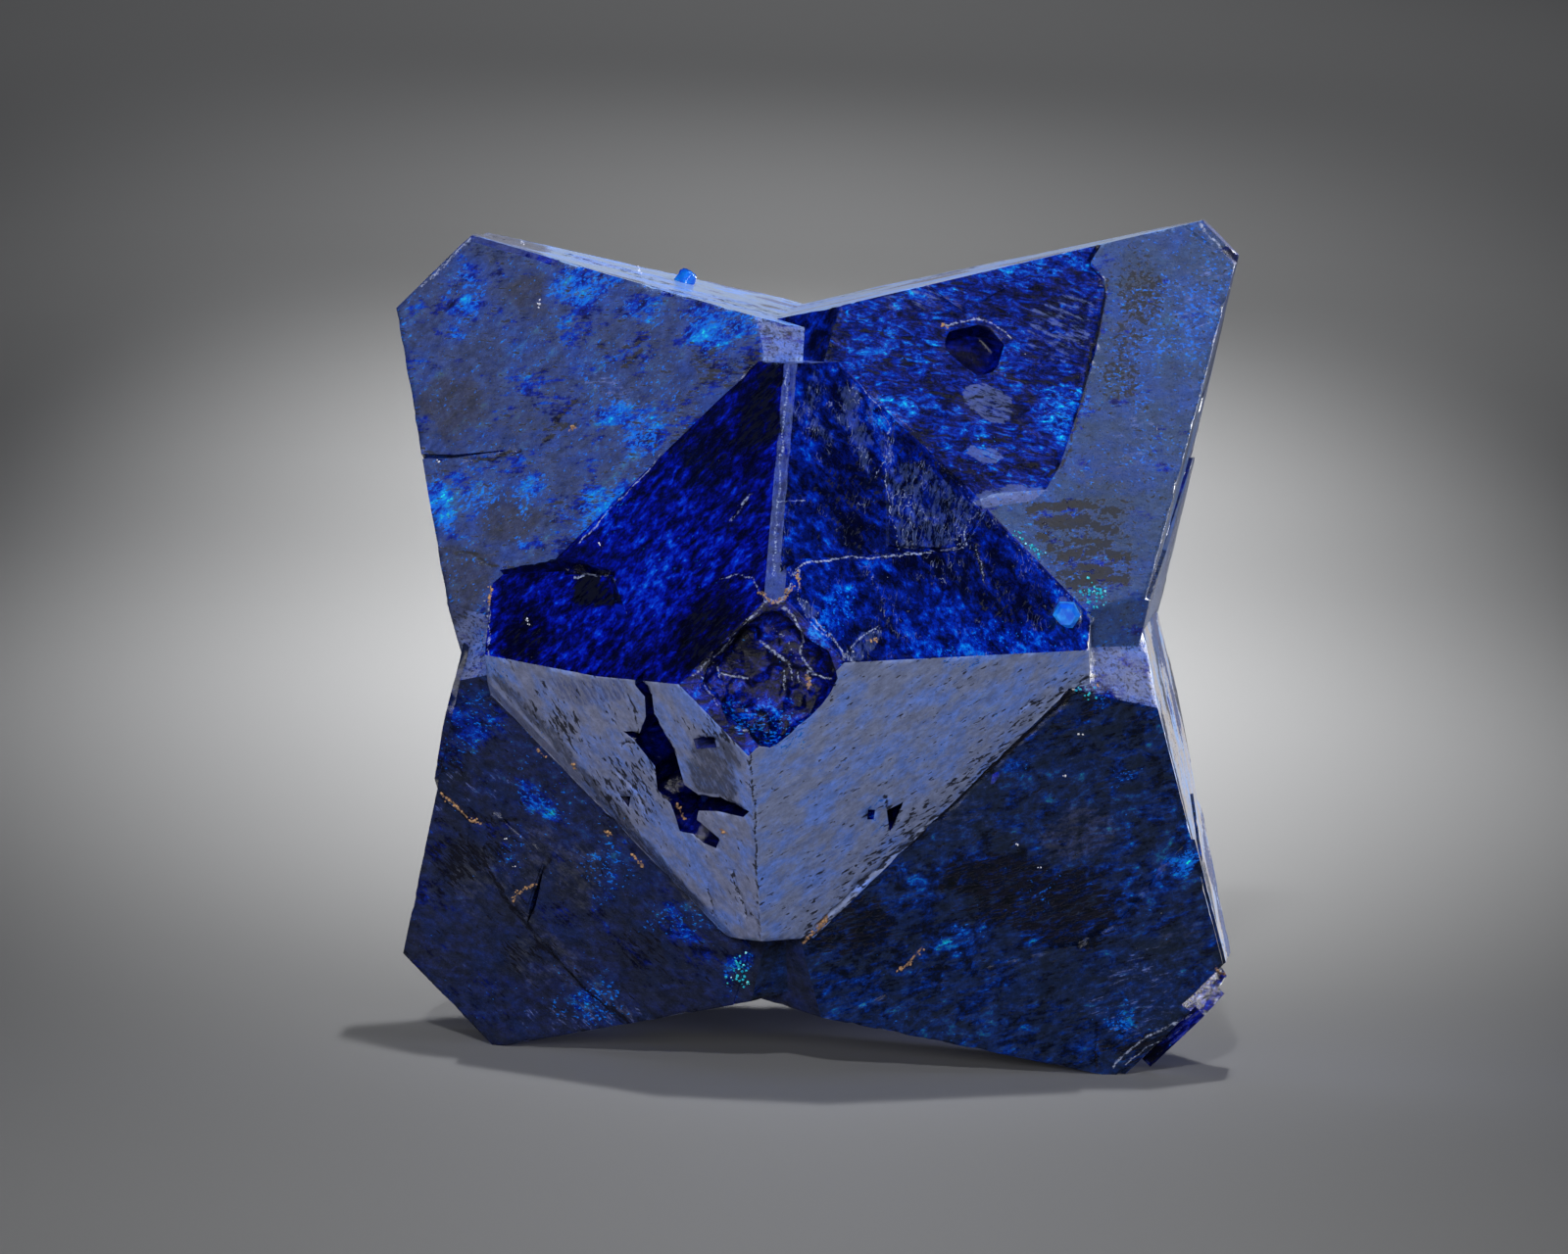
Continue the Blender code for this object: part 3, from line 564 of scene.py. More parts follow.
# Where the faces that belong to no pyramid get a finish of their own, by boxes in the view.
ZONES = (
    (Region.KNOB, (676, 262, 714, 294)),
    (Region.LAYERED, (1105, 1000, 1275, 1110)),
    (Region.HOLLOW, (950, 318, 1042, 392)),
    (Region.HOLLOW, (612, 692, 706, 900)),
    (Region.HOLLOW, (700, 770, 790, 900)),
    (Region.HOLLOW, (500, 562, 645, 625)),
    (Region.HOLLOW, (835, 855, 935, 965)),
    (Region.HOLLOW, (880, 800, 925, 850)),
    (Region.HOLLOW, (1094, 248, 1124, 276)),
    (Region.FRONT_UP_LEFT, (715, 500, 780, 560)),
    (Region.FRONT_UP_RIGHT, (815, 312, 872, 372)),
    (Region.FRONT_UP_RIGHT, (812, 440, 1012, 590)),
    (Region.RIGHT_SLIVER, (1186, 400, 1250, 620)),
    (Region.ARM_UP_RIGHT, (1125, 225, 1290, 600)),
    (Region.ARM_UP_RIGHT, (1100, 600, 1160, 668)),
    (Region.ARM_DOWN_LEFT, (430, 680, 640, 1000)),
    (Region.ARM_DOWN_LEFT, (770, 930, 835, 1020)),
    (Region.ARM_DOWN_RIGHT, (836, 800, 1260, 1064)),
)
TIP_MIDDLE = (787.0, 690.0)
TIP_REACH = 84.0
BAY_LINE = ((1131.0, 288.0), (1066.0, 488.0))
PIT_BOX = (950.0, 318.0, 1042.0, 392.0)
PIT_FLOOR = -0.12


@dataclass
class CrystalStar:
    """The whole specimen: a finely divided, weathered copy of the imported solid."""

    name: str = "crystal_star"
    slice_step: float = 1.4
    merge: float = 0.0005
    rounds: int = 6
    border_fade: float = 0.2
    line_edge: float = 0.075
    plate_edge: float = 0.1
    side_edge: float = 0.4
    back_edge: float = 0.6
    front_edges: dict[Region, float] = field(
        default_factory=lambda: {
            Region.FRONT_UP_LEFT: 0.19,
            Region.FRONT_UP_RIGHT: 0.18,
            Region.FRONT_DOWN_LEFT: 0.26,
            Region.FRONT_DOWN_RIGHT: 0.26,
            Region.ARM_UP_LEFT: 0.26,
            Region.ARM_UP_RIGHT: 0.22,
            Region.BAY: 0.16,
            Region.ARM_DOWN_LEFT: 0.25,
            Region.ARM_DOWN_RIGHT: 0.19,
            Region.TIP: 0.08,
            Region.LAYERED: 0.1,
            Region.KNOB: 0.1,
            Region.HOLLOW: 0.14,
            Region.BREAK: 0.14,
            Region.RIDGE: 0.12,
        }
    )

    def build(self) -> bpy.types.Object:
        """Make the star, weather its faces and dress it.

        Returns:
            The finished object.
        """
        solid = self.copy_of_solid()
        self.mark_planes(solid)
        self.cut_into_cells(solid)
        self.divide(solid)
        mesh = bpy.data.meshes.new(self.name)
        solid.to_mesh(mesh)
        solid.free()
        self.weather(mesh)
        star = bpy.data.objects.new(self.name, mesh)
        bpy.context.scene.collection.objects.link(star)
        for finish in FINISHES:
            mesh.materials.append(finish.build())
        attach(star, "root")
        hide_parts("cumengeite_star")
        return star

    def copy_of_solid(self) -> bmesh.types.BMesh:
        """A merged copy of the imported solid, in millimetres."""
        solid = bmesh.new()
        solid.from_mesh(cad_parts["cumengeite_star"].data)
        bmesh.ops.scale(solid, vec=Vector((1, 1, 1)) / MM, verts=solid.verts[:])
        bmesh.ops.remove_doubles(solid, verts=solid.verts[:], dist=self.merge)
        bmesh.ops.dissolve_limit(
            solid, angle_limit=math.radians(0.05), verts=solid.verts[:], edges=solid.edges[:]
        )
        return solid

    def mark_planes(self, solid: bmesh.types.BMesh) -> None:
        """Note on every face which plane it lies in, and which finish it takes."""
        layer = solid.faces.layers.int.new("plane")
        for face in solid.faces:
            plane, region = self.plane_of(face)
            face[layer] = plane
            face.material_index = region.value

    def plane_of(self, face: bmesh.types.BMFace) -> tuple[int, Region]:
        """The number of the plane that a face lies in, and its kind of surface."""
        normal = np.array(face.normal)
        middle = np.array(face.calc_center_median())
        fits = NORMALS @ normal
        heights = np.einsum("ij,ij->i", middle - FEET, NORMALS)
        for number, (fit, height) in enumerate(zip(fits, heights)):
            flat = fit > 0.9995 and height > -0.62
            if flat or (fit > 0.965 and abs(height) < 0.6 and face.calc_area() > 1.0):
                return number, self.facet_region(FACETS[number], middle, height)
        for number, way in enumerate(WAYS):
            if float(normal @ way) > 0.999:
                return END_PLANES + number, self.end_region(middle)
            for other, second in enumerate(WAYS[number + 1 :]):
                if float(normal @ (way + second)) * DIAGONAL > 0.999:
                    region = self.zone_region(middle) or Region.NOTCH
                    return NOTCH_PLANES + 10 * number + other, region
        return BREAK_PLANE, self.broken_region(normal, middle)

    def facet_region(self, facet: Facet, middle: np.ndarray, height: float) -> Region:
        """The kind of surface of a pyramid face, with the sunk bay told apart."""
        if facet.region is not Region.ARM_UP_RIGHT:
            return facet.region
        across, down = VIEW.places(middle[None])[0]
        left, top, right, bottom = PIT_BOX
        if height < PIT_FLOOR and left < across < right and top < down < bottom:
            return Region.HOLLOW
        (top_x, top_y), (low_x, low_y) = BAY_LINE
        border = top_x + (low_x - top_x) * (down - top_y) / (low_y - top_y)
        in_bay = across < border and down < low_y + 30
        return Region.BAY if in_bay else Region.ARM_UP_RIGHT

    def near_tip(self, middle: np.ndarray) -> bool:
        """Whether a place lies in the hollow of the broken front tip."""
        apart = np.abs(VIEW.places(middle[None])[0] - TIP_MIDDLE).sum()
        return bool(apart < TIP_REACH and middle[1] < 0.0)

    def end_region(self, middle: np.ndarray) -> Region:
        """The kind of surface of a face square to a crystal's length."""
        return Region.TIP if self.near_tip(middle) else Region.END

    def zone_region(self, middle: np.ndarray) -> Region | None:
        """The finish of the zone that a place is seen in, or None outside them all."""
        across, down = VIEW.places(middle[None])[0]
        for region, (left, top, right, bottom) in ZONES:
            inside = left < across < right and top < down < bottom
            if inside and (middle[1] < 0.0 or region is Region.KNOB):
                return region
        return None

    def broken_region(self, normal: np.ndarray, middle: np.ndarray) -> Region:
        """The kind of surface of a face that belongs to no pyramid."""
        if self.near_tip(middle):
            return Region.TIP
        zone = self.zone_region(middle) if normal[1] < 0.3 else None
        if zone is not None:
            return zone
        return Region.RIDGE if (RIDGE_WAYS @ normal).max() > 0.985 else Region.BREAK

    def cut_into_cells(self, solid: bmesh.types.BMesh) -> None:
        """Cut the faces along evenly spaced planes, so that no cell is long and thin."""
        corners = np.array([vert.co for vert in solid.verts])
        for axis in range(3):
            way = Vector([float(axis == other) for other in range(3)])
            low, high = corners[:, axis].min(), corners[:, axis].max()
            for place in np.arange(low + self.slice_step / 2, high, self.slice_step):
                geometry = solid.verts[:] + solid.edges[:] + solid.faces[:]
                bmesh.ops.bisect_plane(
                    solid, geom=geometry, dist=0.03, plane_co=way * float(place), plane_no=way
                )
        bmesh.ops.triangulate(solid, faces=solid.faces[:], ngon_method="BEAUTY")

    def divide(self, solid: bmesh.types.BMesh) -> None:
        """Split long edges until the faces are fine enough for their relief."""
        for _ in range(self.rounds):
            ends, looks, kinds = self.edge_facts(solid)
            lengths = np.linalg.norm(ends[:, 0] - ends[:, 1], axis=1)
            wanted = self.wanted_lengths(ends.mean(axis=1), looks, kinds)
            solid.edges.ensure_lookup_table()
            long = [solid.edges[spot] for spot in np.nonzero(lengths > wanted)[0]]
            if not long:
                break
            bmesh.ops.subdivide_edges(solid, edges=long, cuts=1, use_grid_fill=True)
            wide = [face for face in solid.faces if len(face.verts) > 3]
            bmesh.ops.triangulate(solid, faces=wide, ngon_method="BEAUTY")

    def edge_facts(self, solid: bmesh.types.BMesh) -> tuple[np.ndarray, np.ndarray, np.ndarray]:
        """The ends of every edge, the Y part of the normal beside it, and the region there."""
        probe = bpy.data.meshes.new("probe")
        solid.to_mesh(probe)
        spots = np.empty(len(probe.vertices) * 3)
        probe.vertices.foreach_get("co", spots)
        pairs = np.empty(len(probe.edges) * 2, dtype=int)
        probe.edges.foreach_get("vertices", pairs)
        of_loop = np.empty(len(probe.loops), dtype=int)
        probe.loops.foreach_get("edge_index", of_loop)
        sizes = np.empty(len(probe.polygons), dtype=int)
        probe.polygons.foreach_get("loop_total", sizes)
        normals = np.empty(len(probe.polygons) * 3)
        probe.polygons.foreach_get("normal", normals)
        regions = np.empty(len(probe.polygons), dtype=int)
        probe.polygons.foreach_get("material_index", regions)
        bpy.data.meshes.remove(probe)
        looks = np.zeros(len(pairs) // 2)
        kinds = np.zeros(len(pairs) // 2, dtype=int)
        looks[of_loop] = np.repeat(normals[1::3], sizes)
        kinds[of_loop] = np.repeat(regions, sizes)
        return spots.reshape(-1, 3)[pairs.reshape(-1, 2)], looks, kinds

    def wanted_lengths(
        self, places: np.ndarray, looks: np.ndarray, kinds: np.ndarray
    ) -> np.ndarray:
        """The longest edge allowed at each place.

        Args:
            places: middles of edges in millimetres.
            looks: the Y part of the normal beside each edge.
            kinds: the number of the region beside each edge.

        Returns:
            A length in millimetres for each edge.
        """
        in_front = (looks < -0.2) & (places[:, 1] < 2.0)
        wanted = np.where(looks > 0.3, self.back_edge, self.side_edge)
        for region, length in self.front_edges.items():
            wanted = np.where((kinds == region.value) & in_front, length, wanted)
        wanted = np.where(kinds == Region.KNOB.value, self.front_edges[Region.KNOB], wanted)
        seen = VIEW.places(places)
        for line in CRACKS + VEINS_AND_EDGE_HIGHLIGHTS + CLAY_SEAMS:
            near = (line.distances(seen) < line.width + 1.0) & in_front
            wanted = np.where(near, self.line_edge, wanted)
        for plate in HAZE_PLATES:
            near = (np.abs(plate.inside(seen)) < 2.5) & in_front
            wanted = np.where(near, np.minimum(wanted, self.plate_edge), wanted)
        return wanted

    def weather(self, mesh: bpy.types.Mesh) -> None:
        """Give the fine mesh the relief of the real faces, and the marks for its finishes."""
        count = len(mesh.vertices)
        points = np.empty(count * 3)
        mesh.vertices.foreach_get("co", points)
        points = points.reshape(-1, 3)
        outward = np.empty(count * 3)
        mesh.vertices.foreach_get("normal", outward)
        outward = outward.reshape(-1, 3)
        corners = np.empty(len(mesh.loops), dtype=int)
        mesh.loops.foreach_get("vertex_index", corners)
        plane = np.empty(len(mesh.polygons), dtype=int)
        mesh.attributes["plane"].data.foreach_get("value", plane)
        of_corner = np.repeat(plane, 3)
        lowest = np.full(count, 10_000)
        highest = np.full(count, -1)
        np.minimum.at(lowest, corners, of_corner)
        np.maximum.at(highest, corners, of_corner)
        on_border = lowest != highest
        fade = self.fade_from_borders(points, on_border)
        moved = points.copy()
        for number, facet in enumerate(FACETS):
            mine = (lowest == number) & ~on_border
            if mine.any():
                rise = Relief(facet).rises(points[mine]) * fade[mine]
                moved[mine] += rise[:, None] * facet.normal
        broken = (lowest == BREAK_PLANE) & ~on_border
        rough = 0.05 * grain(points[broken], (0.7, 0.7, 0.7), 4) - 0.015
        apart = np.abs(VIEW.places(points[broken]) - TIP_MIDDLE).sum(axis=1)
        creases = 0.3 - np.abs(grain(points[broken], (0.9, 0.9, 0.9), 3, 40.0))
        rough += 0.16 * creases * ((apart < TIP_REACH) & (points[broken][:, 1] < 0.0))
        moved[broken] += (rough * fade[broken])[:, None] * outward[broken]
        chips = np.maximum(grain(points[on_border], (0.4, 0.4, 0.4), 3) - 0.2, 0.0)
        moved[on_border] -= (0.06 * chips)[:, None] * outward[on_border]
        self.paint(mesh, points, outward)
        low, high = (np.array(corner) / MM for corner in CAD_BOX)
        moved = np.clip(moved, low, high)
        mesh.vertices.foreach_set("co", (moved * MM).ravel())
        mesh.shade_smooth()
        mesh.set_sharp_from_angle(angle=math.radians(24))
        mesh.update()

    def fade_from_borders(self, points: np.ndarray, on_border: np.ndarray) -> np.ndarray:
        """How freely each point may move: 0 on the border of a face, 1 well inside it."""
        spots = np.nonzero(on_border)[0]
        tree = kdtree.KDTree(len(spots))
        for order, spot in enumerate(spots):
            tree.insert(points[spot], order)
        tree.balance()
        gaps = np.array([tree.find(point)[2] for point in points])
        return soft_step(gaps, 0.0, self.border_fade)

    def paint(self, mesh: bpy.types.Mesh, points: np.ndarray, outward: np.ndarray) -> None:
        """Store how each kind of mark covers the surface at every point."""
        seen = VIEW.places(points)
        facing = soft_step(-outward[:, 1], 0.1, 0.3) * soft_step(-points[:, 1], -3.0, -1.0)
        loose = seen + 17 * np.stack(
            (grain(points, (1.2, 1.2, 1.2), 4), grain(points + 7.0, (1.2, 1.2, 1.2), 4)), axis=1
        )
        tight = seen + 2.2 * np.stack(
            (grain(points, (0.4, 0.4, 0.4)), grain(points + 7.0, (0.4, 0.4, 0.4))), axis=1
        )
        layers = {
            "tone": (
                AZURE_PATCHES, HAZE_PLATES + HAZE_PATCHES, DARK_PATCHES + CRACKS + FEATHERS
            ),
            "mark": (CLAY_SEAMS, VEINS_AND_EDGE_HIGHLIGHTS, BROWN_PATCHES),
        }
        for shift, (name, channels) in enumerate(layers.items()):
            values = np.zeros((len(points), 4))
            for channel, marks in enumerate(channels):
                for mark in marks:
                    place = loose if isinstance(mark, Patch) else tight
                    cover = mark.amounts(place) * facing
                    values[:, channel] = np.maximum(values[:, channel], cover)
                if any(isinstance(mark, Patch) for mark in marks):
                    cloud = grain(points + 11.0 * (1 + channel + 3 * shift), (2.2, 2.2, 2.2), 3)
                    hidden = soft_step(cloud, 0.15, 0.6) * (1 - facing)
                    values[:, channel] = np.maximum(values[:, channel], hidden)
            values[:, 3] = 1.0
            layer = mesh.attributes.new(name, "FLOAT_COLOR", "POINT")
            layer.data.foreach_set("color", values.ravel())


@dataclass(frozen=True)
class Relief:
    """The low relief of one pyramid face."""

    facet: Facet

    def rises(self, points: np.ndarray) -> np.ndarray:
        """How far each point is moved out of its face, in millimetres."""
        rise = 0.008 * grain(points, (3.0, 3.0, 3.0), 2)
        region = self.facet.region
        heights = self.facet.heights(points)
        if region is Region.ARM_UP_RIGHT:
            bay = soft_step(-heights, -0.02, 0.04)
            drape = points + np.outer(grain(points, (3.5, 3.5, 3.5), 2), (0.0, 0.0, 0.7))
            rise += 0.024 * bay * grain(drape, (1.5, 1.5, 0.42), 3, -6.0)
        if region is Region.ARM_DOWN_RIGHT:
            drape = points + np.outer(grain(points, (4.0, 4.0, 4.0), 2), (0.0, 0.0, 0.8))
            rise += 0.016 * grain(drape, (2.0, 2.0, 0.5), 3, 16.0)
        if region in (Region.FRONT_UP_LEFT, Region.FRONT_UP_RIGHT):
            turn = 45.0 if region is Region.FRONT_UP_LEFT else 74.0
            rise += 0.008 * grain(points, (2.2, 2.2, 0.5), 3, turn)
        if self.facet.normal[1] < -0.2:
            seen = VIEW.places(points) + 2.0 * grain(points, (0.4, 0.4, 0.4), 2)[:, None]
            for crack in CRACKS:
                groove = 1 - soft_step(crack.distances(seen), 0.0, crack.width)
                rise -= crack.depth * groove
        return rise


class Graph:
    """Adds and joins the nodes of one material."""

    def __init__(self, name: str) -> None:
        """Start a material with only a Principled shader and its output."""
        self.material = bpy.data.materials.new(name)
        self.material.use_nodes = True
        self.tree = self.material.node_tree
        self.shader = self.tree.nodes["Principled BSDF"]
        self.spot = self.node("ShaderNodeTexCoord").outputs["Object"]

    def node(self, kind: str, **settings: object) -> bpy.types.Node:
        """Add a node and set its properties."""
        made = self.tree.nodes.new(kind)
        for key, value in settings.items():
            setattr(made, key, value)
        return made

    def feed(self, socket: Socket, value: object) -> None:
        """Join an output to a socket, or set the socket's own value."""
        if isinstance(value, bpy.types.NodeSocket):
            self.tree.links.new(value, socket)
        elif isinstance(value, tuple) and len(socket.default_value) == 4:
            socket.default_value = (*value, 1.0)
        else:
            socket.default_value = value

    def mapped(self, turn: float, sizes: Colour, shift: float = 0.0) -> Socket:
        """Object coordinates turned about Y and counted in lumps of the given sizes, in mm."""
        turned = self.node("ShaderNodeMapping", vector_type="POINT")
        self.feed(turned.inputs["Vector"], self.spot)
        turned.inputs["Rotation"].default_value = (0.0, math.radians(turn), 0.0)
        scaled = self.node("ShaderNodeVectorMath", operation="MULTIPLY_ADD")
        self.feed(scaled.inputs[0], turned.outputs["Vector"])
        scaled.inputs[1].default_value = [1.0 / (size * MM) for size in sizes]
        scaled.inputs[2].default_value = (shift, shift, shift)
        return scaled.outputs["Vector"]

    def noise(self, place: Socket, detail: float, rough: float = 0.5, bend: float = 0.0) -> Socket:
        """Noise between 0 and 1 at the given place."""
        made = self.node("ShaderNodeTexNoise")
        self.feed(made.inputs["Vector"], place)
        made.inputs["Scale"].default_value = 1.0
        made.inputs["Detail"].default_value = detail
        made.inputs["Roughness"].default_value = rough
        made.inputs["Distortion"].default_value = bend
        return made.outputs["Fac"]

    def cells(self, place: Socket) -> Socket:
        """Distance to the nearest of many scattered points."""
        made = self.node("ShaderNodeTexVoronoi", feature="F1")
        self.feed(made.inputs["Vector"], place)
        made.inputs["Scale"].default_value = 1.0
        return made.outputs["Distance"]

    def spread(
        self, value: object, low: float, high: float, start: float = 0.0, end: float = 1.0
    ) -> Socket:
        """Map the range low to high onto start to end, smoothly and clamped."""
        made = self.node("ShaderNodeMapRange", interpolation_type="SMOOTHSTEP")
        for socket, number in zip(made.inputs[:5], (value, low, high, start, end)):
            self.feed(socket, number)
        return made.outputs["Result"]

    def sum(self, operation: str, first: object, second: object) -> Socket:
        """Work out one step of arithmetic."""
        made = self.node("ShaderNodeMath", operation=operation)
        self.feed(made.inputs[0], first)
        self.feed(made.inputs[1], second)
        return made.outputs["Value"]

    def more(self, base: object, value: object, times: float) -> Socket:
        """Base plus value times a number."""
        made = self.node("ShaderNodeMath", operation="MULTIPLY_ADD")
        for socket, number in zip(made.inputs, (value, times, base)):
            self.feed(socket, number)
        return made.outputs["Value"]

    def about(self, level: float, *parts: tuple[Socket, float]) -> Socket:
        """A level moved by noises about their middles, each times a number."""
        total = level - sum(HALF * times for _, times in parts)
        for noise_value, times in parts:
            total = self.more(total, noise_value, times)
        return total

    def dim(self, colour: Socket, times: object) -> Socket:
        """A colour times a number."""
        made = self.node("ShaderNodeVectorMath", operation="SCALE")
        self.feed(made.inputs[0], colour)
        self.feed(made.inputs["Scale"], times)
        return made.outputs["Vector"]

    def blend(self, amount: object, first: object, second: object) -> Socket:
        """Mix two colours."""
        made = self.node("ShaderNodeMix", data_type="RGBA")
        self.feed(made.inputs["Factor"], amount)
        self.feed(made.inputs[6], first)
        self.feed(made.inputs[7], second)
        return made.outputs[2]

    def scale(self, value: object, stops: list[tuple[float, Colour]]) -> Socket:
        """The colour at a place on a scale of colours."""
        made = self.node("ShaderNodeValToRGB")
        self.feed(made.inputs["Fac"], value)
        ramp = made.color_ramp
        last = len(stops) - 1
        for spot, (place, colour) in enumerate(stops):
            stop = ramp.elements.new(place) if 0 < spot < last else ramp.elements[-1 if spot else 0]
            stop.position = place
            stop.color = (*colour, 1.0)
        return made.outputs["Color"]

    def bump(self, height: object, reach: float, strength: float) -> Socket:
        """A normal that follows a height between 0 and 1, reach metres deep."""
        made = self.node("ShaderNodeBump")
        made.inputs["Strength"].default_value = strength
        made.inputs["Distance"].default_value = reach
        self.feed(made.inputs["Height"], height)
        return made.outputs["Normal"]

    def painted(self, name: str) -> tuple[Socket, ...]:
        """The three painted amounts of a colour attribute."""
        attribute = self.node("ShaderNodeAttribute", attribute_name=name)
        parts = self.node("ShaderNodeSeparateColor")
        self.feed(parts.inputs[0], attribute.outputs["Color"])
        return tuple(parts.outputs[:3])


# The depth of the blue, from nearly black to turquoise.
BLUES = (
    (0.0, (0.0001, 0.0003, 0.003)),
    (0.3, (0.0002, 0.0008, 0.022)),
    (0.48, (0.0004, 0.003, 0.11)),
    (0.64, (0.0006, 0.01, 0.36)),
    (0.78, (0.0015, 0.06, 0.6)),
    (0.9, (0.004, 0.2, 0.78)),
    (1.0, (0.02, 0.5, 0.8)),
)
SLATE = (0.022, 0.05, 0.17)
LAVENDER = (0.1, 0.13, 0.32)
BROWN = (0.034, 0.037, 0.05)
# Near-black for dashes and speckles: painted shade of small pits.
PIT_SHADE_INK = (0.0003, 0.0006, 0.007)
AZURE = (0.003, 0.14, 0.72)
CYAN = (0.006, 0.42, 0.8)
TAN = (0.36, 0.21, 0.11)
PALE = (0.36, 0.41, 0.6)
# White for the painted glints.
GLINT_WHITE = (0.75, 0.8, 0.9)

# What turns a skin bluer, and what turns it greyer.
HUE_SHIFTS = ((0.76, 0.98, 1.38), (1.14, 0.98, 0.8))

# Where the noises of the finishes lie, half way between their lowest and highest values.
HALF = 0.5


@dataclass(frozen=True)
class MineralFinish:
    """The look of one kind of face: blue depth below, a worn skin above, and its marks.

    Level and swing place the blue on the scale of BLUES: its middle, and how far the streaks
    and mottles carry it. Sizes are in millimetres and turns in degrees, towards upper right.
    Flecks and dashes are spots where a noise passes fleck_from and dash_from. The near-black
    colour of the dashes is painted shade of small pits, and the glint spots are painted glints.
    """

    name: str
    level: float = 0.5
    swing: float = 1.5
    green: float = 1.0
    turn: float = 0.0
    streak: Colour = (0.8, 0.8, 0.3)
    wave: float = 0.4
    skin: Colour = SLATE
    skin_from: float = 0.42
    skin_soft: float = 0.2
    skin_size: Colour = (1.2, 1.2, 0.7)
    skin_turn: float = 0.0
    skin_amount: float = 0.5
    brush: Colour = (0.4, 0.4, 0.07)
    mottled: float = 0.5
    # Where a cell noise passes this, white spots are painted in as glints.
    painted_glints: float = 0.0
    contrast: float = 1.0
    haze_amount: float = 0.85
    fleck_from: float = 0.72
    fleck_size: Colour = (0.12, 0.12, 0.07)
    dash_from: float = 0.7
    dash_turn: float = 0.0
    dash_size: Colour = (0.3, 0.3, 0.07)
    scratch_turn: float = 0.0
    scratch_size: Colour = (2.4, 0.5, 0.14)
    scratch_amount: float = 0.0
    speckle: float = 0.0
    roughness: tuple[float, float] = (0.14, 0.3)
    refraction: float = 1.7
    relief: float = 0.2
    relief_strength: float = 0.25

    def build(self) -> bpy.types.Material:
        """Make the material."""
        graph = Graph(self.name)
        azure, haze, dark = graph.painted("tone")
        clay, pale, brown = graph.painted("mark")
        streaks = graph.noise(graph.mapped(self.turn, self.streak), 8.0, 0.66, self.wave)
        broad = graph.noise(graph.mapped(0.0, (2.6, 2.6, 2.6), 4.0), 2.0)
        mottle = graph.noise(graph.mapped(self.turn, (0.34, 0.34, 0.26), 2.0), 8.0, 0.76)
        fine = graph.noise(graph.mapped(self.turn, (0.08, 0.08, 0.06), 9.0), 2.0, 0.6)
        brushed = graph.noise(graph.mapped(self.skin_turn, self.brush, 21.0), 5.0, 0.68, 0.3)
        depth = graph.about(self.level, (streaks, self.swing), (broad, self.swing * 0.4))
        depth = graph.more(depth, graph.about(0.0, (mottle, self.swing * self.mottled)), 1.0)
        depth = graph.more(graph.more(depth, azure, 0.13), dark, -0.22)
        blues = [(place, (red, green * self.green, blue)) for place, (red, green, blue) in BLUES]
        body = graph.scale(depth, blues)
        film, body = self.add_skin(graph, body, azure, haze, dark, brown, mottle, brushed)
        body = self.add_flecks(graph, body, azure, broad, mottle)
        pits, body = self.add_marks(graph, body, fine, mottle, dark, pale, clay, haze)
        graph.feed(graph.shader.inputs["Base Color"], body)
        low, high = self.roughness
        rough = graph.more(graph.spread(fine, 0.3, 0.7, low - 0.03, low + 0.05), film, high - low)
        graph.feed(graph.shader.inputs["Roughness"], graph.more(rough, pits, 0.5))
        graph.shader.inputs["IOR"].default_value = self.refraction
        height = graph.more(graph.more(0.0, streaks, 0.6), mottle, 0.4)
        height = graph.more(height, pits, -0.5)
        normal = graph.bump(height, self.relief * MM, self.relief_strength)
        graph.feed(graph.shader.inputs["Normal"], normal)
        return graph.material

    def add_skin(
        self, graph: Graph, body: Socket, azure: Socket, haze: Socket, dark: Socket,
        brown: Socket, mottle: Socket, brushed: Socket,
    ) -> tuple[Socket, Socket]:
        """Lay the worn skin over the blue body.

        Args:
            graph: the material being made.
            body: the colour below.
            azure: painted amount of azure, where the skin is thin.
            haze: painted amount of pale haze.
            dark: painted amount of dark marks, where the skin is gone.
            brown: painted amount of the brownish film.
            mottle: noise that breaks up the skin.
            brushed: fine streaky noise, which frays its edges.

        Returns:
            How far the skin covers each spot, and the colour with the skin on.
        """
        worn = graph.noise(graph.mapped(self.skin_turn, self.skin_size, 6.0), 6.0, 0.7)
        worn = graph.more(worn, graph.about(0.0, (mottle, 0.5), (brushed, 0.55)), 1.0)
        worn = graph.more(graph.more(worn, haze, 0.25), azure, -0.12)
        worn = graph.more(graph.more(worn, dark, -0.14), brown, 0.16)
        film = graph.spread(
            worn, self.skin_from, self.skin_from + self.skin_soft, 0.0, self.skin_amount
        )
        veil = graph.more(graph.about(0.0, (mottle, 0.9), (brushed, 1.9)), haze, 0.8)
        veil = graph.spread(veil, 0.36, 0.62, 0.0, self.haze_amount)
        film = graph.sum("MAXIMUM", film, veil)
        soiled = graph.more(graph.about(0.0, (mottle, 1.6), (brushed, 1.2)), brown, 0.9)
        soiled = graph.spread(soiled, 0.42, 0.92, 0.0, 0.85)
        even, swing = 1.05, 0.28 * self.contrast
        shade = graph.spread(mottle, 0.3, 0.7, even - swing, even + swing)
        shade = graph.more(shade, graph.about(0.0, (brushed, 2.5 * swing)), 1.0)
        patchy = graph.noise(graph.mapped(self.skin_turn, (1.3, 1.3, 0.8), 33.0), 6.0, 0.7)
        patchy = graph.more(patchy, azure, 0.12)
        bluer, greyer = (
            tuple(part * times for part, times in zip(self.skin, shift)) for shift in HUE_SHIFTS
        )
        base = graph.blend(graph.spread(patchy, 0.42, 0.66), greyer, bluer)
        tint = graph.blend(soiled, graph.blend(veil, base, LAVENDER), BROWN)
        tint = graph.dim(tint, shade)
        return film, graph.blend(film, body, tint)

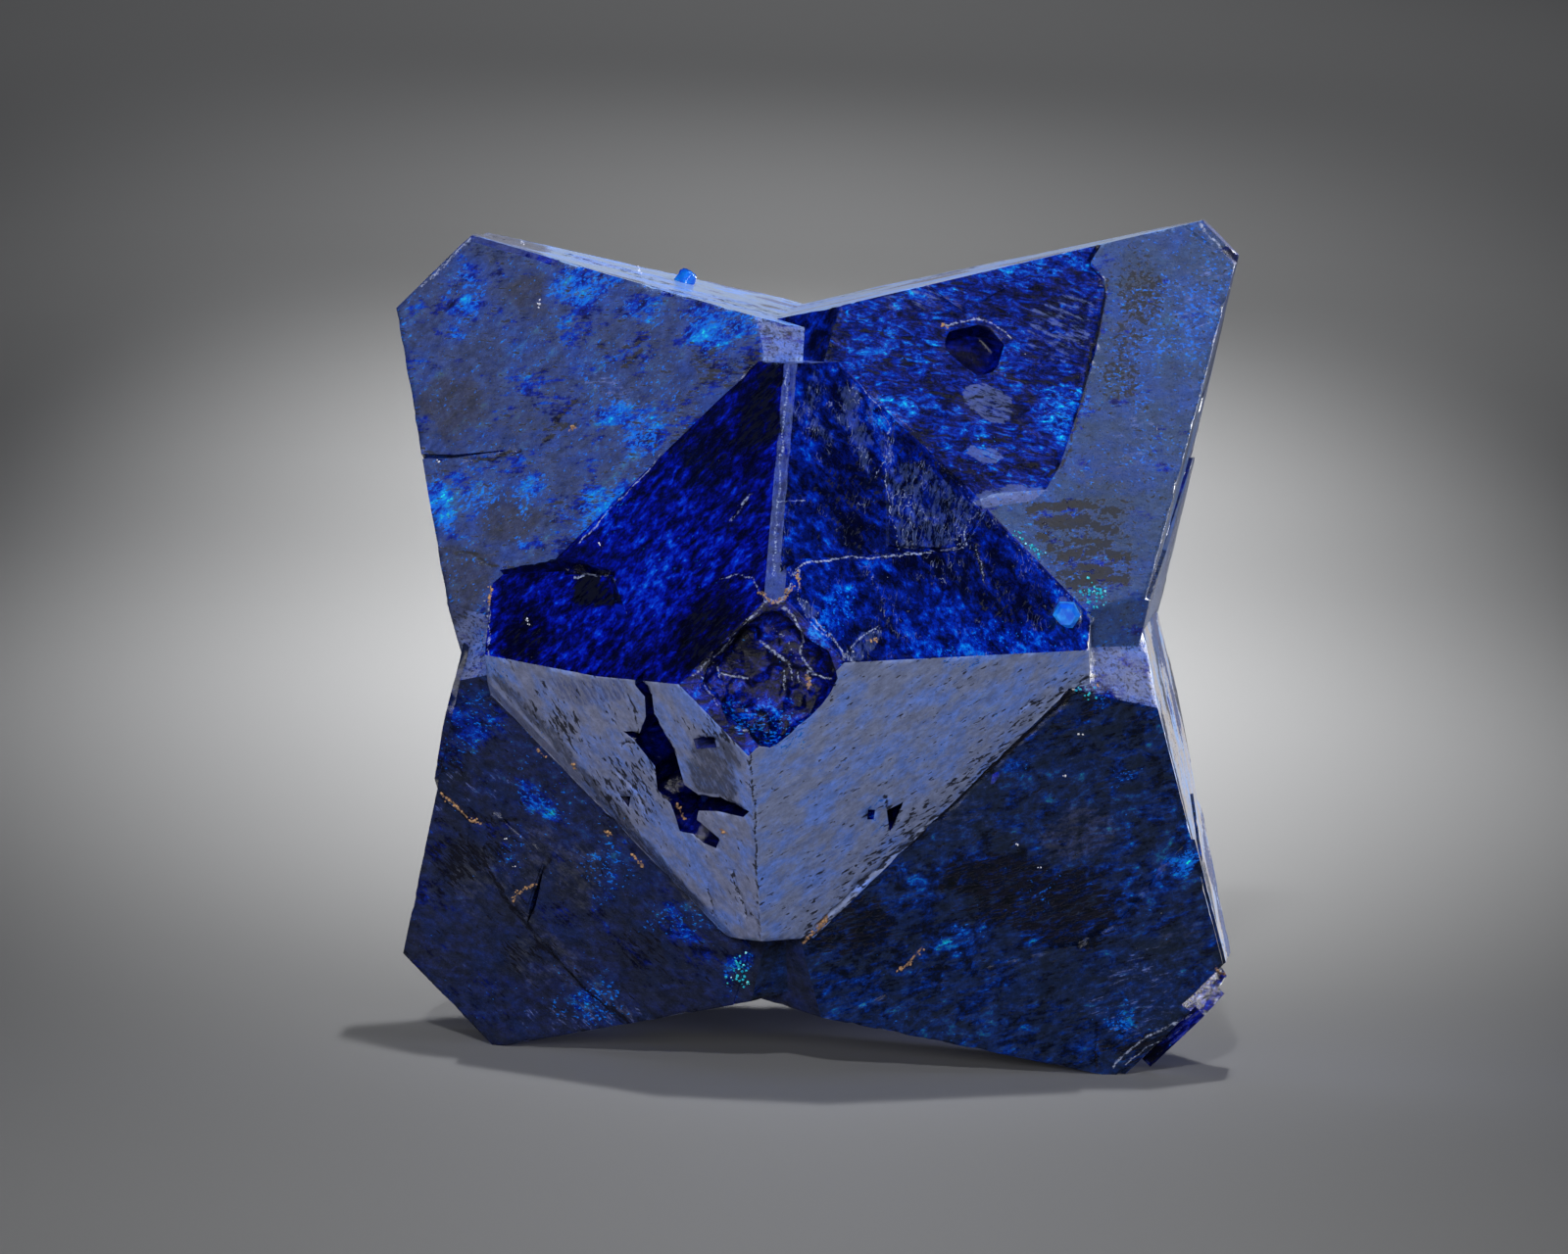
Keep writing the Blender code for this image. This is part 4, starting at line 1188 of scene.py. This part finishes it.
    def add_flecks(
        self, graph: Graph, body: Socket, azure: Socket, broad: Socket, mottle: Socket
    ) -> Socket:
        """Scatter azure and turquoise flecks, thickest in the azure patches."""
        chips = graph.noise(graph.mapped(self.turn, self.fleck_size, 15.0), 2.0, 0.6)
        chips = graph.more(chips, graph.about(0.0, (broad, 0.3), (mottle, 0.3)), 1.0)
        chips = graph.more(chips, azure, 0.17)
        tint = graph.blend(graph.spread(mottle, 0.56, 0.72), AZURE, CYAN)
        cover = graph.spread(chips, self.fleck_from, self.fleck_from + 0.05, 0.0, 0.9)
        return graph.blend(cover, body, tint)

    def add_marks(
        self, graph: Graph, body: Socket, fine: Socket, mottle: Socket, dark: Socket,
        pale: Socket, clay: Socket, haze: Socket,
    ) -> tuple[Socket, Socket]:
        """Draw dashes, dark marks, speckles, scratches, veins and clay, and painted glints.

        Args:
            graph: the material being made.
            body: the colour below.
            fine: fine noise that frays the marks.
            mottle: coarser noise that breaks up the dark marks.
            dark: painted amount of dark marks.
            pale: painted amount of white veins, with painted edge highlights along ridges.
            clay: painted amount of clay.
            haze: painted amount of pale haze, where the scratches lie thickest.

        Returns:
            How far dark pits cover each spot, and the colour with all marks.
        """
        # Dashes are small pits, sunk by the bump and made rougher; their near-black colour is painted shade.
        strokes = graph.noise(graph.mapped(self.dash_turn, self.dash_size, 3.0), 2.0, 0.6)
        strokes = graph.more(strokes, graph.about(0.0, (mottle, 0.35)), 1.0)
        strokes = graph.more(strokes, dark, 0.22)
        dash = graph.spread(strokes, self.dash_from, self.dash_from + 0.05, 0.0, 0.92)
        body = graph.blend(dash, body, PIT_SHADE_INK)
        # Speckles: fine pits whose near-black colour is painted shade.
        if self.speckle:
            pits = graph.noise(graph.mapped(0.0, (0.09, 0.09, 0.09)), 2.0)
            body = graph.blend(graph.spread(pits, 0.56, 0.62, 0.0, self.speckle), body, PIT_SHADE_INK)
        if self.scratch_amount:
            hairs = graph.noise(graph.mapped(self.scratch_turn, self.scratch_size), 2.0, 0.5, 0.2)
            hairs = graph.sum("ABSOLUTE", graph.more(-HALF, hairs, 1.0), 0.0)
            where = graph.noise(graph.mapped(0.0, (1.0, 1.0, 1.0), 12.0), 3.0, 0.6)
            where = graph.spread(graph.more(where, haze, 0.25), 0.54, 0.8, 0.0, self.scratch_amount)
            hairs = graph.sum("MULTIPLY", graph.spread(hairs, 0.002, 0.014, 1.0, 0.0), where)
            body = graph.blend(hairs, body, PALE)
        # Pale veins and chipped edges; along ridges and rims these lines are also painted edge highlights.
        vein = graph.more(graph.more(pale, fine, 1.6), mottle, 1.2)
        body = graph.blend(graph.spread(vein, 2.1, 2.75), body, PALE)
        # Painted glints: white spots painted into the colour in place of sparkling highlights.
        if self.painted_glints:
            points = graph.cells(graph.mapped(0.0, (0.5, 0.5, 0.5), 27.0))
            points = graph.more(points, graph.about(0.0, (mottle, 0.3)), 1.0)
            body = graph.blend(graph.spread(points, self.painted_glints, self.painted_glints - 0.05), body, GLINT_WHITE)
        soil = graph.more(clay, fine, 1.2)
        return dash, graph.blend(graph.spread(soil, 1.35, 1.75, 0.0, 0.9), body, TAN)


FINISHES = (
    MineralFinish(
        "front_up_left_blue", level=0.46, swing=1.35, green=0.6, turn=45.0,
        streak=(0.4, 0.4, 0.3), skin_amount=0.02, haze_amount=0.15, dash_turn=45.0,
        roughness=(0.1, 0.2), refraction=1.3, fleck_from=0.78, mottled=1.2, painted_glints=0.01,
        dash_from=0.74,
    ),
    MineralFinish(
        "front_up_right_blue", level=0.45, swing=1.25, green=1.7, turn=74.0,
        streak=(0.6, 0.6, 0.46), skin_amount=0.03, haze_amount=0.4, scratch_turn=84.0,
        scratch_amount=0.85, dash_turn=60.0, roughness=(0.1, 0.2), refraction=1.3,
        fleck_from=0.77, mottled=1.1, painted_glints=0.015, skin_turn=80.0, brush=(0.5, 0.5, 0.09),
        relief_strength=0.14,
    ),
    # The two lower front faces: their pale slate skin is partly painted reflection, standing for the sheen of the
    # floor and front light, with the real reflection kept weak.
    MineralFinish(
        "front_down_left_slate_painted_sheen", level=0.7, swing=1.0, skin_amount=0.95, skin_from=0.1,
        skin=(0.24, 0.31, 0.6), turn=60.0, dash_turn=-62.0, roughness=(0.18, 0.22),
        refraction=1.45, fleck_from=0.74, dash_from=0.655, skin_turn=-62.0,
    ),
    MineralFinish(
        "front_down_right_slate_painted_sheen", level=0.72, swing=1.0, skin_amount=0.95, skin_from=0.08,
        skin=(0.2, 0.28, 0.57), turn=30.0, dash_turn=30.0, roughness=(0.18, 0.22),
        refraction=1.45, fleck_from=0.73, dash_from=0.645, skin_turn=30.0,
    ),
    MineralFinish(
        "arm_up_left_mottled", level=0.62, swing=1.2, green=1.8, skin_amount=0.9,
        skin_from=0.36, skin=(0.03, 0.052, 0.16), dash_turn=4.0, roughness=(0.14, 0.3),
        skin_turn=6.0, fleck_from=0.655, dash_from=0.625, skin_soft=0.1, turn=40.0,
        dash_size=(0.26, 0.26, 0.06), mottled=0.9, contrast=1.5,
    ),
    MineralFinish(
        "arm_up_right_band", level=0.6, swing=1.1, green=1.8, skin_amount=0.92,
        skin_from=0.3, skin=(0.024, 0.058, 0.175), dash_turn=12.0, roughness=(0.14, 0.3),
        dash_size=(0.15, 0.15, 0.08), contrast=1.3,
        skin_turn=10.0, fleck_from=0.66, dash_from=0.63, skin_soft=0.1,
    ),
    MineralFinish(
        "arm_down_left_navy", level=0.42, swing=1.3, green=2.0, skin_amount=0.85,
        skin_from=0.32, skin=(0.011, 0.017, 0.046), roughness=(0.16, 0.24), refraction=1.3,
        dash_turn=-40.0, fleck_from=0.74, mottled=1.1, skin_turn=-40.0, skin_soft=0.1,
        contrast=1.6, dash_from=0.66,
    ),
    MineralFinish(
        "arm_down_right_teal", level=0.42, swing=1.4, green=4.0, skin_amount=0.7,
        skin_from=0.42, skin=(0.008, 0.017, 0.048), streak=(1.0, 1.0, 0.5), turn=16.0,
        wave=1.6, roughness=(0.14, 0.22), refraction=1.3, dash_turn=16.0, fleck_from=0.75,
        mottled=1.1, contrast=1.6, dash_from=0.66, skin_turn=16.0, relief_strength=0.4, skin_soft=0.08, painted_glints=0.006,
    ),
    MineralFinish("side_faces", level=0.58, swing=1.2, skin_amount=0.85, skin_from=0.34),
    MineralFinish(
        "notch_speckled", level=0.6, skin_amount=0.9, skin_from=0.3, speckle=0.7,
        skin=(0.12, 0.17, 0.4), dash_from=0.8,
    ),
    MineralFinish("blunt_ends", level=0.6, skin_amount=0.7, skin_from=0.4),
    MineralFinish(
        "fresh_break", level=0.5, skin_amount=0.5, skin_from=0.4, roughness=(0.14, 0.24)
    ),
    MineralFinish(
        "worn_ridges", level=0.55, skin_amount=0.8, skin_from=0.3, skin=(0.035, 0.05, 0.18),
        roughness=(0.16, 0.28), dash_from=0.7, skin_turn=90.0, dash_turn=90.0,
        refraction=1.22,
    ),
    MineralFinish(
        "broken_tip", level=0.43, swing=1.7, skin_amount=0.0, roughness=(0.06, 0.14),
        wave=1.4, streak=(0.4, 0.4, 0.3), relief_strength=0.4, dash_from=0.72,
        refraction=1.26, painted_glints=0.02, mottled=0.9, haze_amount=0.2,
    ),
    MineralFinish("azure_knob", level=0.84, swing=0.6, skin_amount=0.0, dash_from=0.9),
    MineralFinish(
        "layered_corner", level=0.46, streak=(2.0, 0.3, 0.12), turn=40.0, skin_from=0.5,
        skin_amount=0.4, skin=(0.07, 0.09, 0.2), relief_strength=0.4, dash_turn=40.0,
        dash_from=0.6, refraction=1.2, skin_size=(1.4, 0.5, 0.1), skin_turn=40.0,
    ),
    MineralFinish(
        "dark_hollow", level=0.32, swing=1.3, skin_amount=0.0, roughness=(0.1, 0.15),
        refraction=1.3, fleck_from=0.84, dash_from=0.85,
    ),
    MineralFinish(
        "rippled_bay", level=0.5, swing=1.5, green=1.9, turn=-6.0, streak=(0.6, 0.6, 0.2),
        wave=1.8, skin_amount=0.2, skin_from=0.58, roughness=(0.08, 0.16),
        relief_strength=0.3, dash_from=0.64, dash_turn=-8.0, skin_turn=-20.0,
        skin_size=(1.2, 1.2, 0.35), refraction=1.28, fleck_from=0.76, mottled=0.9,
        painted_glints=0.012, brush=(0.6, 0.6, 0.1), haze_amount=0.7, dash_size=(0.4, 0.4, 0.08),
    ),
    # The top slivers: their pale blue skin is partly painted reflection of the backdrop behind, with little real
    # reflection.
    MineralFinish(
        "top_slivers_painted_reflection", level=0.8, swing=0.4, skin_amount=0.95, skin_from=0.1,
        skin=(0.3, 0.46, 0.76), roughness=(0.12, 0.18), refraction=1.16, dash_from=0.78,
        fleck_from=0.82, relief_strength=0.06, contrast=0.4,
    ),
    MineralFinish(
        "right_sliver", level=0.8, swing=0.4, skin_amount=0.95, skin_from=0.05,
        skin=(0.17, 0.24, 0.42), roughness=(0.1, 0.16), refraction=1.6, dash_from=0.74,
        fleck_from=0.82, relief_strength=0.08, contrast=0.7,
    ),
    # The low sliver: its near-white skin is painted reflection of the lit floor behind, with almost no real
    # reflection.
    MineralFinish(
        "low_sliver_painted_reflection", level=0.8, swing=0.4, skin_amount=0.95, skin_from=0.08,
        skin=(0.66, 0.71, 0.82), roughness=(0.1, 0.16), refraction=1.08, dash_from=0.82,
        fleck_from=0.88, relief_strength=0.06, contrast=0.3,
    ),
)


@dataclass
class SurfaceFinder:
    """Finds where the sight line through a pixel meets the finished star."""

    star: bpy.types.Object
    tree: BVHTree = None

    def __post_init__(self) -> None:
        """Sort the faces of the star for quick searching."""
        shape = bmesh.new()
        shape.from_mesh(self.star.data)
        self.tree = BVHTree.FromBMesh(shape)
        shape.free()

    def spot(self, place: Place) -> tuple[Vector, Vector] | None:
        """The place on the star under a pixel and the direction it faces, or None beside it."""
        start, way = VIEW.ray(place)
        hit, normal, _, _ = self.tree.ray_cast(start * MM, way)
        return None if hit is None else (hit, normal)


@dataclass(frozen=True)
class GrainFinish:
    """A dull or sparkling finish for small grains, with a slight change from grain to grain."""

    name: str
    first: Colour
    second: Colour
    roughness: float = 0.8
    size: float = 0.25

    def build(self) -> bpy.types.Material:
        """Make the material."""
        graph = Graph(self.name)
        mix = graph.noise(graph.mapped(0.0, (self.size, self.size, self.size)), 3.0)
        colour = graph.blend(graph.spread(mix, 0.35, 0.65), self.first, self.second)
        graph.feed(graph.shader.inputs["Base Color"], colour)
        graph.shader.inputs["Roughness"].default_value = self.roughness
        return graph.material


@dataclass
class Grains:
    """Small grains stuck along lines or spots of the star, all in one piece."""

    name: str
    lines: tuple[Line, ...]
    finish: GrainFinish
    spacing: float = 3.0
    jitter: float = 1.2
    size: tuple[float, float] = (0.03, 0.07)
    sharp: bool = False
    seed: int = 5

    def build(self, finder: SurfaceFinder) -> bpy.types.Object:
        """Set every grain on the star.

        Args:
            finder: finds the surface under each pixel.

        Returns:
            The finished object.
        """
        draw = random.Random(self.seed)
        heap = bmesh.new()
        for line in self.lines:
            for place in line.spots(draw, self.spacing, self.jitter):
                found = finder.spot(place)
                if found is not None:
                    self.add_grain(heap, draw, *found)
        low, high = CAD_BOX
        for vert in heap.verts:
            vert.co = [min(max(part, start), end) for part, start, end in zip(vert.co, low, high)]
        mesh = bpy.data.meshes.new(self.name)
        heap.to_mesh(mesh)
        heap.free()
        mesh.materials.append(self.finish.build())
        piece = bpy.data.objects.new(self.name, mesh)
        bpy.context.scene.collection.objects.link(piece)
        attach(piece, "root")
        return piece

    def add_grain(
        self, heap: bmesh.types.BMesh, draw: random.Random, spot: Vector, normal: Vector
    ) -> None:
        """Add one squashed and turned grain, half sunk into the surface."""
        size = draw.uniform(*self.size) * MM
        turn = Euler([draw.uniform(0.0, math.tau) for _ in range(3)]).to_matrix().to_4x4()
        squash = Matrix.Diagonal([draw.uniform(0.6, 1.3) for _ in range(3)]).to_4x4()
        place = Matrix.Translation(spot + normal * size * 0.15) @ turn @ squash
        if self.sharp:
            bmesh.ops.create_cube(heap, size=size * 1.6, matrix=place)
        else:
            bmesh.ops.create_icosphere(heap, subdivisions=1, radius=size, matrix=place)


@dataclass
class SmallCrystal:
    """A stubby six-sided crystal with a bevelled end, grown on a face of the star."""

    name: str = "azure_crystal"
    place: Place = (1088.0, 628.0)
    radius: float = 0.37
    height: float = 0.34
    bevel: float = 0.09

    def build(self, finder: SurfaceFinder) -> bpy.types.Object:
        """Grow the crystal where its pixel meets the star.

        Args:
            finder: finds the surface under the pixel.

        Returns:
            The finished object.
        """
        spot, normal = finder.spot(self.place)
        way = (normal * 0.55 - Vector(VIEW.ray(self.place)[1])).normalized()
        shape = bmesh.new()
        turn = way.to_track_quat("Z", "X").to_matrix().to_4x4()
        lift = Matrix.Translation(spot + way * self.height * 0.1 * MM) @ turn
        bmesh.ops.create_cone(
            shape, cap_ends=True, segments=6, radius1=self.radius * MM,
            radius2=self.radius * 0.92 * MM, depth=self.height * MM, matrix=lift,
        )
        top = [
            edge for edge in shape.edges
            if all((vert.co - spot).dot(way) > 0 for vert in edge.verts)
        ]
        bmesh.ops.bevel(
            shape, geom=top, offset=self.bevel * MM, segments=1, profile=0.5, affect="EDGES",
            material=-1,
        )
        mesh = bpy.data.meshes.new(self.name)
        shape.to_mesh(mesh)
        shape.free()
        mesh.materials.append(AZURE_FINISH.build())
        piece = bpy.data.objects.new(self.name, mesh)
        bpy.context.scene.collection.objects.link(piece)
        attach(piece, "root")
        return piece


AZURE_FINISH = GrainFinish("azure_crystal", (0.004, 0.1, 0.7), (0.02, 0.3, 0.9), 0.2, 0.3)
CLAY_FINISH = GrainFinish("tan_clay", (0.5, 0.28, 0.13), (0.2, 0.12, 0.08), 0.9, 0.12)
DUST_FINISH = GrainFinish("white_dust", (0.8, 0.8, 0.85), (0.6, 0.62, 0.75), 0.9, 0.1)
CYAN_FINISH = GrainFinish("turquoise_druse", (0.0, 0.3, 0.5), (0.05, 0.6, 0.7), 0.25, 0.1)

GRAINS = (
    Grains("clay_grains", CLAY_SEAMS, CLAY_FINISH, 2.2, 1.2, (0.02, 0.05)),
    Grains(
        "turquoise_grains",
        (
            Line(((1104, 605), (1118, 600), (1132, 612))), Line(((1108, 612), (1124, 618))),
            Line(((1036, 545), (1050, 556), (1066, 570))), Line(((750, 975), (760, 990))),
            Line(((754, 985), (764, 1004))), Line(((1100, 700), (1116, 710))),
            Line(((740, 996), (756, 1000))), Line(((1114, 594), (1120, 604))),
        ),
        CYAN_FINISH, 1.5, 3.2, (0.014, 0.038), True, 7,
    ),
    Grains(
        "dust_specks",
        (
            Line(((531, 243), (534, 250))), Line(((552, 304), (549, 314))),
            Line(((651, 272), (652, 279))), Line(((537, 632), (539, 638))),
            Line(((612, 553), (613, 557))), Line(((447, 470), (449, 470))),
            Line(((515, 854), (517, 856))), Line(((524, 884), (526, 885))),
            Line(((1037, 862), (1039, 863))), Line(((1060, 884), (1062, 886))),
            Line(((1086, 791), (1088, 793))), Line(((1100, 749), (1106, 750))),
        ),
        DUST_FINISH, 1.2, 0.8, (0.015, 0.035), False, 9,
    ),
)


class Lit(Enum):
    """What a studio light is shaded to reach."""

    SPECIMEN = "specimen"
    FLOOR = "floor"


@dataclass(frozen=True)
class Softbox:
    """A soft studio light: where it hangs from its aim, how wide, and how bright it looks."""

    name: str
    way: Colour
    distance: float
    width: float
    height: float
    radiance: float
    tint: Colour = (1.0, 1.0, 1.0)
    spread: float = 180.0
    turn: float = 0.0
    aim: Colour = (0.0, 0.0, 0.0105)
    lit: Lit = Lit.SPECIMEN
    faded: bool = False

    def hang(self, reached: bpy.types.Collection | None = None) -> bpy.types.Object:
        """Add the light, turned to its aim.

        Args:
            reached: the only objects that it lights, or None for all.

        Returns:
            The light.
        """
        data = bpy.data.lights.new(self.name, "AREA")
        data.shape = "RECTANGLE"
        data.size, data.size_y = self.width, self.height
        data.energy = self.radiance * math.pi * self.width * self.height
        data.color = self.tint
        data.spread = math.radians(self.spread)
        light = bpy.data.objects.new(self.name, data)
        aim = Vector(self.aim)
        place = aim + Vector(self.way).normalized() * self.distance
        turn = (place - aim).to_track_quat("Z", "Y").to_matrix().to_4x4()
        spin = Matrix.Rotation(math.radians(self.turn), 4, "Z")
        light.matrix_world = Matrix.Translation(place) @ turn @ spin
        light.light_linking.receiver_collection = reached
        bpy.context.scene.collection.objects.link(light)
        if self.faded:
            self.fade(data)
        return light

    def fade(self, data: bpy.types.Light) -> None:
        """Dim the light smoothly from its middle to its two ends."""
        data.use_nodes = True
        tree = data.node_tree
        spot = tree.nodes.new("ShaderNodeNewGeometry")
        parts = tree.nodes.new("ShaderNodeSeparateXYZ")
        inward = tree.nodes.new("ShaderNodeMath")
        inward.operation = "PINGPONG"
        inward.inputs[1].default_value = HALF
        smooth = tree.nodes.new("ShaderNodeMapRange")
        smooth.interpolation_type = "SMOOTHSTEP"
        smooth.inputs["From Max"].default_value = HALF
        tree.links.new(spot.outputs["Parametric"], parts.inputs[0])
        tree.links.new(parts.outputs["Y"], inward.inputs[0])
        tree.links.new(inward.outputs[0], smooth.inputs["Value"])
        tree.links.new(smooth.outputs[0], tree.nodes["Emission"].inputs["Strength"])


def floor_strip(
    name: str, middle: float, length: float, spread: float, radiance: float
) -> Softbox:
    """A narrow strip light over the floor, along the line of sight.

    Args:
        name: its name.
        middle: how far behind the star its middle is, in metres.
        length: its length in metres.
        spread: the angle of its beam in degrees.
        radiance: how bright it looks.

    Returns:
        The light.
    """
    slope = VIEW.back[0] / VIEW.back[1]
    across = VIEW.stand[0] * MM + slope * (middle - VIEW.stand[1] * MM)
    return Softbox(
        name, (0.0, 0.0, 1.0), 0.3, 0.004, length, radiance, spread=spread, turn=SIGHT_TURN,
        aim=(across + STRIP_SHIFT, middle, 0.0), lit=Lit.FLOOR, faded=True,
    )


# How far the line of sight is turned from the Y axis, in degrees, and how far the strips hang
# to its right, in metres.
SIGHT_TURN = 3.66
STRIP_SHIFT = 0.0008


@dataclass
class Studio:
    """The pale floor with its sweep, the soft lights and the dim room."""

    pieces: list[bpy.types.Object] = field(default_factory=list)
    reach: float = 3.0
    bend_start: float = 2.2
    bend_radius: float = 0.3
    wall_height: float = 0.6

    def build(self) -> None:
        """Add everything round the star."""
        sweep = self.add_sweep()
        members = {Lit.SPECIMEN: self.pieces, Lit.FLOOR: [sweep]}
        groups = {}
        for lit, objects in members.items():
            groups[lit] = bpy.data.collections.new(f"lit_{lit.value}")
            for item in objects:
                groups[lit].objects.link(item)
        for softbox in SOFTBOXES:
            softbox.hang(groups[softbox.lit])
        world = bpy.data.worlds.new("room")
        bpy.context.scene.world = world
        world.use_nodes = True
        room = world.node_tree.nodes["Background"]
        room.inputs["Color"].default_value = (0.02, 0.021, 0.024, 1.0)
        bpy.context.scene.view_settings.view_transform = "Standard"

    def add_sweep(self) -> bpy.types.Object:
        """Make the floor and the wall behind it as one bent sheet."""
        sheet = bmesh.new()
        left = Vector((-self.reach, -self.reach, 0.0))
        start = sheet.verts.new(left)
        end = sheet.verts.new(left + Vector((2 * self.reach, 0.0, 0.0)))
        edge = sheet.edges.new((start, end))
        far = bmesh.ops.extrude_edge_only(sheet, edges=[edge])["geom"]
        verts = [part for part in far if isinstance(part, bmesh.types.BMVert)]
        run = Vector((0.0, self.reach + self.bend_start, 0.0))
        bmesh.ops.translate(sheet, vec=run, verts=verts)
        edge = next(part for part in far if isinstance(part, bmesh.types.BMEdge))
        centre = Vector((0.0, self.bend_start, self.bend_radius))
        bend = bmesh.ops.spin(
            sheet, geom=[edge, *verts], cent=centre, axis=Vector((1.0, 0.0, 0.0)),
            angle=math.radians(90), steps=24, use_merge=False,
        )["geom_last"]
        edge = next(part for part in bend if isinstance(part, bmesh.types.BMEdge))
        top = bmesh.ops.extrude_edge_only(sheet, edges=[edge])["geom"]
        verts = [part for part in top if isinstance(part, bmesh.types.BMVert)]
        rise = Vector((0.0, 0.0, self.wall_height - self.bend_radius))
        bmesh.ops.translate(sheet, vec=rise, verts=verts)
        bmesh.ops.recalc_face_normals(sheet, faces=sheet.faces[:])
        mesh = bpy.data.meshes.new("sweep")
        sheet.to_mesh(mesh)
        sheet.free()
        mesh.shade_smooth()
        sweep = bpy.data.objects.new("sweep", mesh)
        bpy.context.scene.collection.objects.link(sweep)
        paper = bpy.data.materials.new("pale_paper")
        paper.use_nodes = True
        shader = paper.node_tree.nodes["Principled BSDF"]
        shader.inputs["Base Color"].default_value = (0.46, 0.463, 0.47, 1.0)
        shader.inputs["Roughness"].default_value = 0.6
        mesh.materials.append(paper)
        return sweep


SOFTBOXES = (
    Softbox("front_fill", (0.0, -0.94, 0.34), 2.5, 0.95, 0.95, 21.0),
    Softbox("key_right", (0.70, -0.09, 0.70), 0.45, 0.16, 0.16, 2.2),
    Softbox("front_left", (-0.69, -0.446, 0.565), 0.5, 0.3, 0.3, 0.16, (0.9, 0.93, 1.0)),
    Softbox("front_right", (0.565, -0.5, 0.565), 0.5, 0.25, 0.25, 0.14, (0.9, 0.93, 1.0)),
    Softbox("kicker_right", (0.7, 0.7, 0.14), 1.4, 0.7, 0.5, 21.0),
    Softbox("top_light", (0.0, 0.1, 1.0), 0.5, 0.2, 0.2, 8.0, (0.55, 0.8, 1.25)),
    Softbox("back_panel", (-0.064, 0.99, 0.1), 2.3, 1.4, 0.4, 0.4),
    Softbox(
        "floor_front", (0.0, -0.94, 0.34), 1.0, 0.05, 0.05, 0.34, spread=2.86,
        aim=(-0.002, 0.008, 0.0), lit=Lit.FLOOR,
    ),
    Softbox("floor_low", (0.0, -0.99, 0.12), 0.6, 0.5, 0.05, 26.0, lit=Lit.FLOOR),
    floor_strip("strip_front", -0.055, 0.18, 14.0, 2.6),
    floor_strip("strip_near", 0.04, 0.16, 10.0, 3.6),
    floor_strip("strip_halo", 0.12, 0.24, 14.0, 10.3),
    floor_strip("strip_behind", 0.25, 0.5, 14.0, 14.7),
    floor_strip("strip_middle", 0.5, 0.9, 24.0, 6.2),
    floor_strip("strip_far", 0.7, 1.2, 70.0, 6.1),
    floor_strip("strip_farthest", 1.3, 1.6, 70.0, 11.2),
)


def main() -> None:
    """Build the scene piece by piece."""
    logging.basicConfig(level=logging.INFO, format="%(name)s: %(message)s")
    VIEW.add_camera()
    star = CrystalStar().build()
    LOG.info("%s: %d triangles", star.name, len(star.data.polygons))
    finder = SurfaceFinder(star)
    pieces = [star]
    for builder in (*GRAINS, SmallCrystal()):
        pieces.append(builder.build(finder))
        LOG.info("%s: %d faces", pieces[-1].name, len(pieces[-1].data.polygons))
    Studio(pieces).build()


if __name__ == "__main__":
    main()
